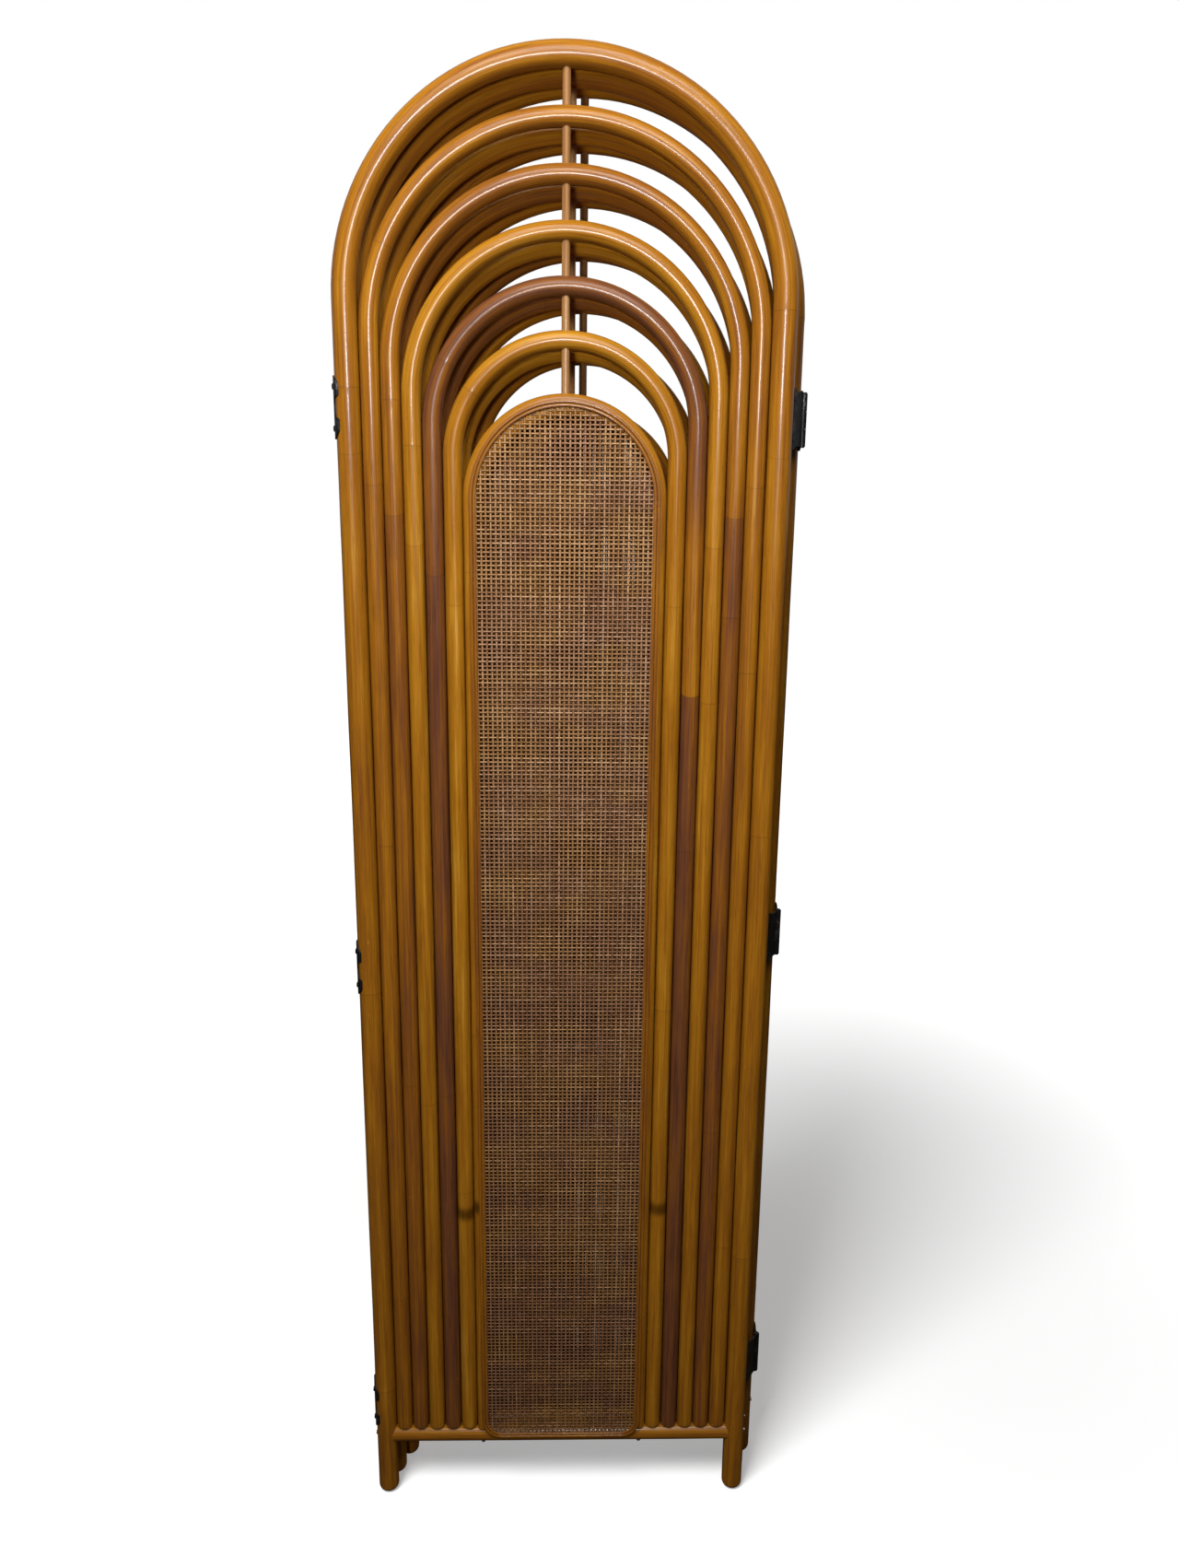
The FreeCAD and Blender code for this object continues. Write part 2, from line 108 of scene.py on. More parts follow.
class Nodes:
    """Short calls for adding and linking nodes in one tree."""

    def __init__(self, tree: NodeTree) -> None:
        """Keeps the tree that the nodes go into."""
        self.tree = tree

    def feed(self, socket: NodeSocket, value: object) -> None:
        """Links a socket to a node's output, or sets its value.

        Args:
            socket: the input socket.
            value: an output or a plain value.
        """
        if isinstance(value, Value):
            self.tree.links.new(value.socket, socket)
        else:
            socket.default_value = value

    def add(self, kind: str, inputs: Optional[dict] = None, **settings: object) -> Node:
        """Adds one node.

        Args:
            kind: Blender's name of the node type.
            inputs: values or outputs by the input's name or number.
            settings: the node's own options.

        Returns:
            The new node.
        """
        node = self.tree.nodes.new(kind)
        for key, value in settings.items():
            setattr(node, key, value)
        for key, value in (inputs or {}).items():
            self.feed(node.inputs[key], value)
        return node

    def out(self, kind: str, inputs: Optional[dict] = None, output: object = 0, **settings: object) -> Value:
        """Adds one node and gives one of its outputs, by name or number."""
        return Value(self, self.add(kind, inputs, **settings).outputs[output])

    def math(self, operation: str, *values: object) -> Value:
        """The result of a math node."""
        return self.out("ShaderNodeMath", dict(enumerate(values)), operation=operation)

    def positive(self, value: Value) -> Value:
        """A number, or zero where it is negative."""
        return self.math("MAXIMUM", value, 0.0)

    def hypotenuse(self, first: Value, second: Value) -> Value:
        """The long side over two sides that stand square."""
        return self.math("SQRT", first * first + second * second)

    def vector(self, operation: str, *values: object, output: str = "Vector") -> Value:
        """The result of a vector math node."""
        return self.out("ShaderNodeVectorMath", dict(enumerate(values)), output, operation=operation)

    def length(self, vector: Value) -> Value:
        """A vector's length."""
        return self.vector("LENGTH", vector, output="Value")

    def scaled(self, vector: Value, factor: Value) -> Value:
        """A vector times a number."""
        return self.out("ShaderNodeVectorMath", {0: vector, "Scale": factor}, "Vector", operation="SCALE")

    def combine(self, x: object, y: object, z: object) -> Value:
        """A vector from three numbers."""
        return self.out("ShaderNodeCombineXYZ", {0: x, 1: y, 2: z})

    def split(self, vector: Value) -> list[Value]:
        """The three numbers of a vector."""
        return [Value(self, socket) for socket in self.add("ShaderNodeSeparateXYZ", {0: vector}).outputs]

    def coordinates(self, kind: str = "Object") -> Value:
        """A point's coordinates of one kind."""
        return self.out("ShaderNodeTexCoord", None, kind)

    def plain_noise(self, vector: Value, output: str, detail: float, roughness: float = 0.5) -> Value:
        """Noise of scale one on a vector."""
        inputs = {"Vector": vector, "Scale": 1.0, "Detail": detail, "Roughness": roughness}
        return self.out("ShaderNodeTexNoise", inputs, output)

    def scale_range(self, value: Value, low: float, high: float, to_low: float, to_high: float,
                    smooth: bool = False) -> Value:
        """A number moved from one range to another and held inside it."""
        inputs = {"Value": value, "From Min": low, "From Max": high, "To Min": to_low, "To Max": to_high}
        return self.out("ShaderNodeMapRange", inputs, "Result",
                        interpolation_type="SMOOTHSTEP" if smooth else "LINEAR")


class GeometryTree(Nodes):
    """A geometry node tree with named inputs, run on a mesh to give a plain mesh."""

    def __init__(self, name: str, inputs: dict[str, str]) -> None:
        """Makes an empty tree.

        Args:
            name: the tree's name.
            inputs: socket type by input name, in order.
        """
        super().__init__(bpy.data.node_groups.new(name, "GeometryNodeTree"))
        face = self.tree.interface
        face.new_socket("Geometry", in_out="INPUT", socket_type="NodeSocketGeometry")
        self.ids = {label: face.new_socket(label, in_out="INPUT", socket_type=f"NodeSocket{kind}").identifier
                    for label, kind in inputs.items()}
        face.new_socket("Geometry", in_out="OUTPUT", socket_type="NodeSocketGeometry")
        entry = self.tree.nodes.new("NodeGroupInput").outputs
        self.given = {label: Value(self, entry[label]) for label in ("Geometry", *inputs)}

    def read(self, name: str, kind: str = "FLOAT") -> Value:
        """The field of a named attribute."""
        return self.out("GeometryNodeInputNamedAttribute", {"Name": name}, "Attribute", data_type=kind)

    def store(self, geometry: Value, name: str, value: Value, kind: str = "FLOAT") -> Value:
        """Geometry with a point attribute stored on it."""
        inputs = {"Geometry": geometry, "Name": name, "Value": value}
        return self.out("GeometryNodeStoreNamedAttribute", inputs, data_type=kind, domain="POINT")

    def position(self) -> list[Value]:
        """The three numbers of a point's place."""
        return self.split(self.out("GeometryNodeInputPosition"))

    def moved(self, geometry: Value, shift: Value) -> Value:
        """Geometry with its points shifted."""
        return self.out("GeometryNodeSetPosition", {"Geometry": geometry, "Offset": shift})

    def noise(self, vector: Value) -> Value:
        """Smooth noise about zero, from about -0.5 to 0.5."""
        return self.plain_noise(vector, "Fac", 1.0) - 0.5

    def flat_round(self, sides: object, thickness: Value, width: Value) -> Value:
        """A flattened round to sweep, with each point's own place stored on it.

        Args:
            sides: the number of its sides.
            thickness: its size towards the front.
            width: its size across.

        Returns:
            The section's curve.
        """
        circle = self.out("GeometryNodeCurvePrimitiveCircle", {"Resolution": sides, "Radius": 0.5}, "Curve")
        size = self.combine(thickness, width, 1.0)
        circle = self.out("GeometryNodeTransform", {"Geometry": circle, "Scale": size})
        return self.store(circle, "section", self.out("GeometryNodeInputPosition"), "FLOAT_VECTOR")

    def swept(self, curve: Value, section: Value, scale: object) -> Value:
        """A section swept along curves, with its broad side to the front.

        Args:
            curve: the curves.
            section: the section's curve.
            scale: the section's scale along the curves.

        Returns:
            The swept mesh.
        """
        curve = self.out("GeometryNodeSetCurveNormal", {"Curve": curve, "Normal": TO_FRONT}, mode="FREE")
        inputs = {"Curve": curve, "Profile Curve": section, "Scale": scale, "Fill Caps": True}
        return self.out("GeometryNodeCurveToMesh", inputs)

    def close(self, geometry: Value, helpers: Iterable[str]) -> None:
        """Drops the helper attributes and ends the tree in plain, smooth, dressed geometry.

        Args:
            geometry: what the tree has made.
            helpers: names of the attributes to drop.
        """
        for name in helpers:
            geometry = self.out("GeometryNodeRemoveAttribute", {"Geometry": geometry, "Name": name})
        geometry = self.out("GeometryNodeSetShadeSmooth", {"Geometry": geometry})
        geometry = self.out("GeometryNodeRealizeInstances", {"Geometry": geometry})
        inputs = {"Geometry": geometry, "Material": self.given["Material"]}
        geometry = self.out("GeometryNodeSetMaterial", inputs)
        self.feed(self.tree.nodes.new("NodeGroupOutput").inputs[0], geometry)

    def run(self, source: Mesh, settings: dict[str, object]) -> Mesh:
        """Runs the tree once.

        Args:
            source: the mesh that the tree starts from, which is used up.
            settings: a value for each named input.

        Returns:
            The finished plain mesh.
        """
        carrier = bpy.data.objects.new("carrier", source)
        bpy.context.scene.collection.objects.link(carrier)
        modifier = carrier.modifiers.new("shape", "NODES")
        modifier.node_group = self.tree
        for label, value in settings.items():
            modifier[self.ids[label]] = value
        graph = bpy.context.evaluated_depsgraph_get()
        mesh = bpy.data.meshes.new_from_object(carrier.evaluated_get(graph), depsgraph=graph)
        carrier.modifiers.remove(modifier)
        bpy.data.objects.remove(carrier)
        bpy.data.meshes.remove(source)
        return mesh


class SweptCane(GeometryTree):
    """Geometry nodes that sweep a round or flattened section along paths, whose ends may be coped."""

    wander_rate = 3.0
    swell_rate = 9.0
    swell_row = 3.0
    grain_step = 3.7

    def __init__(self) -> None:
        """Builds the tree."""
        super().__init__("swept_cane", {
            "Width": "Float", "Thickness": "Float", "Sides": "Int", "Wander": "Float", "Unevenness": "Float",
            "Seed": "Float", "Material": "Material"})
        given = self.given
        along = self.read("along")
        outward = self.read("outward", "FLOAT_VECTOR")
        curve = self.out("GeometryNodeMeshToCurve", {"Mesh": given["Geometry"]})
        curve = self.wandering(curve, along, outward)
        place = self.combine(along * self.swell_rate, given["Seed"], self.swell_row)
        thickness = self.noise(place) * given["Unevenness"] + self.read("taper")
        section = self.flat_round(given["Sides"], given["Thickness"], given["Width"])
        mesh = self.coped(self.swept(curve, section, thickness), outward)
        over, across, _ = self.split(self.read("section", "FLOAT_VECTOR"))
        grain = self.combine(over, across, given["Seed"] * self.grain_step + along)
        mesh = self.store(mesh, "grain", grain, "FLOAT_VECTOR")
        depth = self.position()[1]
        mesh = self.store(mesh, "joint", depth * SPLICE_SLOPE + self.read("joint"))
        self.close(mesh, ("along", "taper", "outward", "cope", "cope_depth", "section"))

    def wandering(self, curve: Value, along: Value, outward: Value) -> Value:
        """The path with the slight wander of a grown pole, held at its coped ends.

        Args:
            curve: the path.
            along: the length along it.
            outward: the way out of a coped end, of length one, and zero elsewhere.

        Returns:
            The wandering path.
        """
        place = self.combine(along * self.wander_rate, self.given["Seed"], 0.0)
        shift = self.vector("SUBTRACT", self.plain_noise(place, "Color", 1.0), (0.5, 0.5, 0.5))
        free = (1.0 - self.length(outward)) * self.given["Wander"]
        return self.moved(curve, self.scaled(shift, free))

    def coped(self, mesh: Value, outward: Value) -> Value:
        """The swept mesh with its end rings drawn out onto the round piece that they meet.

        Args:
            mesh: the swept mesh.
            outward: the way out of a coped end, of length one, and zero elsewhere.

        Returns:
            The coped mesh.
        """
        cope = self.read("cope")
        depth = self.position()[1] - self.read("cope_depth")
        fall = cope - self.math("SQRT", self.positive(cope * cope - depth * depth))
        return self.moved(mesh, self.scaled(outward, fall))


class CaneWeave(GeometryTree):
    """Geometry nodes for one direction of strands of an over-and-under weave inside an arched outline."""

    strand_sides = 6
    grain_step = 0.37
    drift_rate = 14.0
    drift_step = 0.35
    drift_share = 3.0

    def __init__(self) -> None:
        """Builds the tree."""
        floats = ("Pitch Across", "Pitch Up", "Half Width", "Spring", "Low", "Corner", "Face", "Strand Width",
                  "Strand Thickness", "Wave", "Jitter")
        super().__init__("cane_weave", {
            "Columns": "Int", "Rows": "Int", **dict.fromkeys(floats, "Float"), "Upright": "Bool",
            "Seed": "Int", "Material": "Material"})
        given = self.given
        columns = given["Columns"]
        rows = given["Rows"]
        width = (columns - 1.0) * given["Pitch Across"]
        height = (rows - 1.0) * given["Pitch Up"]
        grid = {"Size X": width, "Size Y": height, "Vertices X": columns, "Vertices Y": rows}
        mesh = self.one_way(self.out("GeometryNodeMeshGrid", grid, "Mesh"))
        mesh = self.woven(self.inside(self.raised(mesh, width, height)))
        curve = self.out("GeometryNodeMeshToCurve", {"Mesh": mesh})
        x, _, z = self.position()
        curve = self.store(curve, "along", self.pick(z, x))
        section = self.flat_round(self.strand_sides, given["Strand Thickness"], given["Strand Width"])
        mesh = self.marked(self.swept(curve, section, 1.0))
        self.close(mesh, ("strand", "parity", "along", "section"))

    def pick(self, upright: object, level: object) -> Value:
        """The first value for upright strands and the second for level ones."""
        inputs = {"Switch": self.given["Upright"], "False": level, "True": upright}
        return self.out("GeometryNodeSwitch", inputs, input_type="FLOAT")

    def one_way(self, mesh: Value) -> Value:
        """The grid with only the edges that run along the strands.

        Args:
            mesh: the flat grid.

        Returns:
            The grid's strands.
        """
        ends = self.add("GeometryNodeInputMeshEdgeVertices").outputs
        first, second = (Value(self, ends[f"Position {number}"]) for number in (1, 2))
        across, up, _ = self.split(self.vector("ABSOLUTE", self.vector("SUBTRACT", first, second)))
        level = self.math("GREATER_THAN", across, up)
        inputs = {"Geometry": mesh, "Selection": self.pick(level, 1.0 - level)}
        return self.out("GeometryNodeDeleteGeometry", inputs, domain="EDGE", mode="EDGE_FACE")

    def raised(self, mesh: Value, width: Value, height: Value) -> Value:
        """The flat grid stood up in the panel, with each point's strand and whether it lies over or under.

        Args:
            mesh: the flat grid.
            width: its width.
            height: its height.

        Returns:
            The upright grid.
        """
        given = self.given
        x, up, _ = self.position()
        z = up + (height * 0.5 + given["Low"])
        column = self.math("ROUND", (width * 0.5 + x) / given["Pitch Across"])
        row = self.math("ROUND", (z - given["Low"]) / given["Pitch Up"])
        mesh = self.store(mesh, "strand", self.pick(column, row))
        mesh = self.store(mesh, "parity", self.math("MODULO", column + row, 2.0))
        inputs = {"Geometry": mesh, "Position": self.combine(x, given["Face"], z)}
        return self.out("GeometryNodeSetPosition", inputs)

    def inside(self, mesh: Value) -> Value:
        """The grid cut to the arched outline with rounded lower corners.

        Args:
            mesh: the upright grid.

        Returns:
            The cut grid.
        """
        given = self.given
        x, _, z = self.position()
        above = self.positive(z - given["Spring"])
        outside = self.math("GREATER_THAN", self.hypotenuse(x, above), given["Half Width"])
        past = self.positive(self.math("ABSOLUTE", x) - (given["Half Width"] - given["Corner"]))
        below = self.positive(given["Low"] + given["Corner"] - z)
        rounded_off = self.math("GREATER_THAN", self.hypotenuse(past, below), given["Corner"])
        inputs = {"Geometry": mesh, "Selection": self.math("MAXIMUM", outside, rounded_off)}
        return self.out("GeometryNodeDeleteGeometry", inputs, domain="POINT", mode="ALL")

    def woven(self, mesh: Value) -> Value:
        """The strands bent over and under each other, each a little out of line.

        Args:
            mesh: the straight strands.

        Returns:
            The woven strands.
        """
        given = self.given
        strand = self.read("strand")
        side = (self.read("parity") * 2.0 - 1.0) * self.pick(1.0, -1.0)
        inputs = {"Min": -1.0, "Max": 1.0, "Seed": given["Seed"], "ID": strand}
        stray = self.out("FunctionNodeRandomValue", inputs, 1, data_type="FLOAT")
        x, _, z = self.position()
        place = self.combine(self.pick(z, x) * self.drift_rate, strand * self.drift_step, given["Seed"])
        stray = (self.noise(place) * self.drift_share + stray) * given["Jitter"]
        shift = self.combine(self.pick(stray, 0.0), side * given["Wave"], self.pick(0.0, stray))
        return self.moved(mesh, shift)

    def marked(self, mesh: Value) -> Value:
        """The strands with what their finish reads: grain, nearness to an edge and own tone.

        Args:
            mesh: the swept strands.

        Returns:
            The strands with those attributes.
        """
        given = self.given
        strand = self.read("strand")
        over, across, _ = self.split(self.read("section", "FLOAT_VECTOR"))
        grain = self.combine(across + strand * self.grain_step, over, self.read("along"))
        mesh = self.store(mesh, "grain", grain, "FLOAT_VECTOR")
        # The nearness to an edge drives the painted shade at the strands' edges in their finish.
        mesh = self.store(mesh, "edge", self.math("ABSOLUTE", across) / given["Strand Width"] * 2.0)
        inputs = {"Seed": given["Seed"], "ID": strand}
        return self.store(mesh, "tone", self.out("FunctionNodeRandomValue", inputs, 1, data_type="FLOAT"))


class Shade(Nodes):
    """A material's node tree with its main shader at hand."""

    def __init__(self, name: str) -> None:
        """Makes a material with a plain main shader.

        Args:
            name: the material's name.
        """
        self.material = bpy.data.materials.new(name)
        self.material.use_nodes = True
        super().__init__(self.material.node_tree)
        self.shader = self.tree.nodes["Principled BSDF"]

    def set(self, **values: object) -> None:
        """Sets or links the main shader's inputs, with _ for each space in a name."""
        for key, value in values.items():
            self.feed(self.shader.inputs[key.replace("_", " ")], value)

    def attribute(self, name: str, output: str = "Fac") -> Value:
        """A named attribute of the piece."""
        return self.out("ShaderNodeAttribute", None, output, attribute_name=name)

    def noise(self, vector: Value, stretch: Triple, detail: float = 2.0, roughness: float = 0.5) -> Value:
        """Noise from 0 to 1 on a vector that is stretched first."""
        return self.plain_noise(self.vector("MULTIPLY", vector, stretch), "Fac", detail, roughness)

    def ramp(self, value: Value, stops: Stops) -> Value:
        """A colour ramp over a value.

        Args:
            value: the place on the ramp.
            stops: places with their colours.

        Returns:
            The colour.
        """
        node = self.add("ShaderNodeValToRGB", {"Fac": value})
        elements = node.color_ramp.elements
        while len(elements) < len(stops):
            elements.new(1.0)
        for element, (place, colour) in zip(elements, stops):
            element.position = place
            element.color = (*colour, 1.0)
        return Value(self, node.outputs["Color"])

    def mix(self, share: object, first: object, second: object, blend: str = "MIX") -> Value:
        """Two colours mixed by a share."""
        inputs = {0: share, 6: first, 7: second}
        return self.out("ShaderNodeMix", inputs, 2, data_type="RGBA", blend_type=blend)

    def bump(self, height: Value, strength: float, distance: float) -> None:
        """Gives the main shader a bump."""
        inputs = {"Height": height, "Strength": strength, "Distance": distance}
        self.set(Normal=self.out("ShaderNodeBump", inputs, "Normal"))


@dataclass(frozen=True)
class RattanFinish:
    """Varnished rattan, whose stain, fibres, growth rings and splices follow each pole.

    A stretch is a pattern's rate per metre. A shade is the share of the colour left at a mark.
    """

    name: str
    slot: str
    stops: Stops = (
        (0.00, (0.040, 0.013, 0.007)),
        (0.25, (0.102, 0.035, 0.017)),
        (0.45, (0.175, 0.058, 0.008)),
        (0.65, (0.255, 0.094, 0.005)),
        (0.85, (0.335, 0.143, 0.008)),
        (1.00, (0.450, 0.230, 0.035)))
    fibre_stretch: Triple = (620.0, 620.0, 7.0)
    cloud_stretch: Triple = (62.0, 62.0, 7.5)
    band_stretch: Triple = (190.0, 190.0, 5.5)
    pore_stretch: Triple = (1900.0, 1900.0, 34.0)
    nick_stretch: Triple = (330.0, 330.0, 60.0)
    ripple_stretch: Triple = (24.0, 24.0, 190.0)
    streak: float = 0.68
    mottle: float = 0.46
    band: float = 0.60
    nick: float = 0.35
    pore_shade: float = 0.62
    ring_shade: float = 0.72
    seam_shade: float = 0.66
    knot_shade: float = 0.30
    roughness: float = 0.32
    coat: float = 0.34
    coat_roughness: float = 0.13

    def material(self) -> Material:
        """The finish as a node material.

        Returns:
            The material.
        """
        shade = Shade(self.name)
        grain = shade.attribute("grain", "Vector")
        fibre = shade.noise(grain, self.fibre_stretch, 4.0, 0.6)
        cloud = shade.noise(grain, self.cloud_stretch, 3.0, 0.6)
        joint = shade.attribute("joint")
        colour = shade.ramp(self.tone(shade, grain, joint, fibre, cloud), self.stops)
        left = self.left_by_marks(shade, grain, joint, fibre)
        roughness = shade.scale_range(cloud, 0.25, 0.75, self.roughness - 0.06, self.roughness + 0.10)
        shade.set(Base_Color=shade.mix(1.0, colour, shade.combine(left, left, left), "MULTIPLY"),
                  Roughness=roughness, Specular_IOR_Level=0.3, Coat_Weight=self.coat,
                  Coat_Roughness=self.coat_roughness)
        ripple = shade.noise(grain, self.ripple_stretch, 2.0)
        shade.bump(fibre * 0.5 + left * 0.6 + ripple * 0.8, 0.25, 0.0006)
        return shade.material

    def tone(self, shade: Shade, grain: Value, joint: Value, fibre: Value, cloud: Value) -> Value:
        """The stain at a point, from 0, dark, to 1, pale.

        Args:
            shade: the material's nodes.
            grain: the place in the pole's own wood.
            joint: the length past the nearest splice.
            fibre: the noise of the fibres.
            cloud: the noise of the mottling.

        Returns:
            The stain.
        """
        stain = shade.attribute("stain")
        past_splice = shade.math("GREATER_THAN", joint, 0.0)
        tone = past_splice * (shade.attribute("leg_stain") - stain) + stain
        band = shade.noise(grain, self.band_stretch, 3.0, 0.6)
        for pattern, amount in ((cloud, self.mottle), (fibre, self.streak), (band, self.band)):
            tone = (pattern - 0.5) * amount + tone
        nicks = shade.noise(grain, self.nick_stretch, 1.0)
        return tone + shade.scale_range(nicks, 0.79, 0.84, 0.0, self.nick)

    def left_by_marks(self, shade: Shade, grain: Value, joint: Value, fibre: Value) -> Value:
        """The share of the colour that pores, growth rings, splices and knots leave at a point.

        Args:
            shade: the material's nodes.
            grain: the place in the pole's own wood.
            joint: the length past the nearest splice.
            fibre: the noise of the fibres.

        Returns:
            The share, down from 1.
        """
        pores = shade.noise(grain, self.pore_stretch, 2.0)
        knot = shade.scale_range(shade.attribute("knot"), 0.001, 0.014, 1.0, 0.0, True)
        return (shade.scale_range(pores, 0.30, 0.44, self.pore_shade, 1.0)
                * shade.scale_range(shade.attribute("ring"), 0.0002, 0.0009, self.ring_shade, 1.0)
                * shade.scale_range(shade.math("ABSOLUTE", joint), 0.00015, 0.0005, self.seam_shade, 1.0)
                * shade.scale_range(knot * fibre, 0.0, 0.5, 1.0, self.knot_shade))


@dataclass(frozen=True)
class CaneFinish:
    """Stained cane strands with their own tones, and painted shade at their edges and towards the rail."""

    name: str
    slot: str
    golden: Stops = (
        (0.00, (0.016, 0.004, 0.001)),
        (0.30, (0.100, 0.040, 0.009)),
        (0.60, (0.250, 0.122, 0.040)),
        (1.00, (0.580, 0.365, 0.200)))
    umber: Stops = (
        (0.00, (0.016, 0.004, 0.003)),
        (0.30, (0.088, 0.034, 0.017)),
        (0.60, (0.235, 0.112, 0.056)),
        (1.00, (0.560, 0.370, 0.240)))
    patch_stretch: Triple = (5.0, 1.0, 26.0)
    fibre_stretch: Triple = (1500.0, 1500.0, 30.0)
    hue_stretch: Triple = (16.0, 16.0, 22.0)
    middle_tone: float = 0.60
    patch: float = 0.50
    strand: float = 0.18
    streak: float = 0.40
    umber_fall: float = 0.05
    # Painted shade at a strand's edges, where holes and crossing strands shade it.
    edge_painted_shade: float = 0.45
    # Painted shade towards the bottom of the weave.
    low_painted_shade: float = 0.09
    roughness: float = 0.45

    def material(self) -> Material:
        """The finish as a node material.

        Returns:
            The material.
        """
        shade = Shade(self.name)
        grain = shade.attribute("grain", "Vector")
        place = shade.coordinates()
        patch = shade.noise(grain, self.patch_stretch, 2.0)
        fibre = shade.noise(grain, self.fibre_stretch, 3.0, 0.6)
        hue = shade.scale_range(shade.noise(place, self.hue_stretch, 2.0), 0.38, 0.62, 0.0, 0.75, True)
        tone = (patch - 0.5) * self.patch + self.middle_tone
        tone = (shade.attribute("tone") - 0.5) * self.strand + tone
        tone = (fibre - 0.5) * self.streak + tone
        # Painted shade darkens each strand towards its edges, and a slight painted highlight lightens its
        # crest.
        tone = tone + shade.scale_range(shade.attribute("edge"), 0.40, 1.00, 0.05, -self.edge_painted_shade, True)
        tone = hue * -self.umber_fall + tone
        # Painted shade: the weave darkens towards the bottom, standing in for lamp light that falls off lower
        # down.
        tone = tone + shade.scale_range(shade.split(place)[2], 0.15, 1.0, -self.low_painted_shade, 0.0)
        shade.set(Base_Color=shade.mix(hue, shade.ramp(tone, self.golden), shade.ramp(tone, self.umber)),
                  Roughness=self.roughness, Specular_IOR_Level=0.3)
        shade.bump(fibre, 0.3, 0.0003)
        return shade.material


@dataclass(frozen=True)
class MetalFinish:
    """Black painted or plain metal with wear and dust."""

    name: str
    slot: str
    coat: Triple
    worn: Triple
    wear: float
    roughness: float
    metallic: float
    cloud_stretch: Triple = (90.0, 90.0, 60.0)
    scuff_stretch: Triple = (420.0, 420.0, 260.0)
    dust: float = 1.9

    def material(self) -> Material:
        """The finish as a node material.

        Returns:
            The material.
        """
        shade = Shade(self.name)
        place = shade.coordinates()
        cloud = shade.noise(place, self.cloud_stretch, 3.0)
        scuff = shade.noise(place, self.scuff_stretch, 4.0, 0.7)
        rubbed = cloud * 0.5 + scuff * 0.5
        share = shade.scale_range(rubbed, 0.62 - self.wear, 0.70 - self.wear / 2, 0.0, 1.0, True)
        dusty = tuple(self.dust * channel for channel in self.coat)
        tint = shade.mix(cloud, (*self.coat, 1.0), (*dusty, 1.0))
        shade.set(Base_Color=shade.mix(share, tint, (*self.worn, 1.0)),
                  Metallic=self.metallic,
                  Roughness=shade.scale_range(scuff, 0.3, 0.7, self.roughness - 0.08, self.roughness + 0.12))
        shade.bump(scuff, 0.15, 0.0003)
        return shade.material


@dataclass(frozen=True)
class Tones:
    """Stain of a pole's bow and of its two legs, from 0, dark, to 1, pale."""

    bow: float
    left: float
    right: float
    right_tail: Optional[float] = None


class Leg(Enum):
    """One of the two legs of a bent pole."""

    LEFT = -1
    RIGHT = 1


@dataclass(frozen=True)
class Knot:
    """A dark knot on a leg of a pole, at a height above the floor."""

    leg: Leg
    height: float


@dataclass
class PathPoint:
    """One point of a path that cane or rattan is swept along."""

    place: Vector
    along: float
    stain: float
    leg_stain: float = 0.6
    taper: float = 1.0
    joint: float = -FAR_SPLICE
    ring: float = FAR_MARK
    knot: float = FAR_MARK
    cope: float = 0.0
    cope_depth: float = 0.0
    outward: Vector = field(default_factory=Vector)

    def cope_onto(self, outward: Triple, radius: float, depth: float = 0.0) -> None:
        """Makes this end of a path fit a round piece.

        Args:
            outward: the way out of the end.
            radius: the round piece's radius.
            depth: how far its centre line lies from the panel's middle plane.
        """
        self.outward = Vector(outward)
        self.cope = radius - SEATING
        self.cope_depth = depth


def path_mesh(runs: list[list[PathPoint]], closed: bool = False) -> Mesh:
    """Paths as a mesh of edges that carries the points' values as attributes.

    Args:
        runs: the paths.
        closed: whether each path ends where it starts.

    Returns:
        The mesh.
    """
    points = [point for run in runs for point in run]
    edges = []
    first = 0
    for run in runs:
        last = first + len(run) - 1
        edges += [(number, number + 1) for number in range(first, last)]
        edges += [(last, first)] if closed else []
        first = last + 1
    mesh = bpy.data.meshes.new("path")
    mesh.from_pydata([point.place for point in points], edges, [])
    for name in ("along", "stain", "leg_stain", "taper", "joint", "ring", "knot", "cope", "cope_depth"):
        layer = mesh.attributes.new(name, "FLOAT", "POINT")
        layer.data.foreach_set("value", [getattr(point, name) for point in points])
    layer = mesh.attributes.new("outward", "FLOAT_VECTOR", "POINT")
    layer.data.foreach_set("vector", [part for point in points for part in point.outward])
    return mesh


def spread(start: float, end: float, steps: int) -> list[float]:
    """Even steps from a start to an end, both included."""
    return [start + (end - start) * number / steps for number in range(steps + 1)]


def arc(x: float, z: float, radius: float, start: float, end: float, steps: int) -> list[tuple]:
    """Points of an arc about a centre in the panel's plane, from one angle in degrees to another."""
    turns = [math.radians(angle) for angle in spread(start, end, steps)]
    return [(x + radius * math.cos(turn), z + radius * math.sin(turn)) for turn in turns]


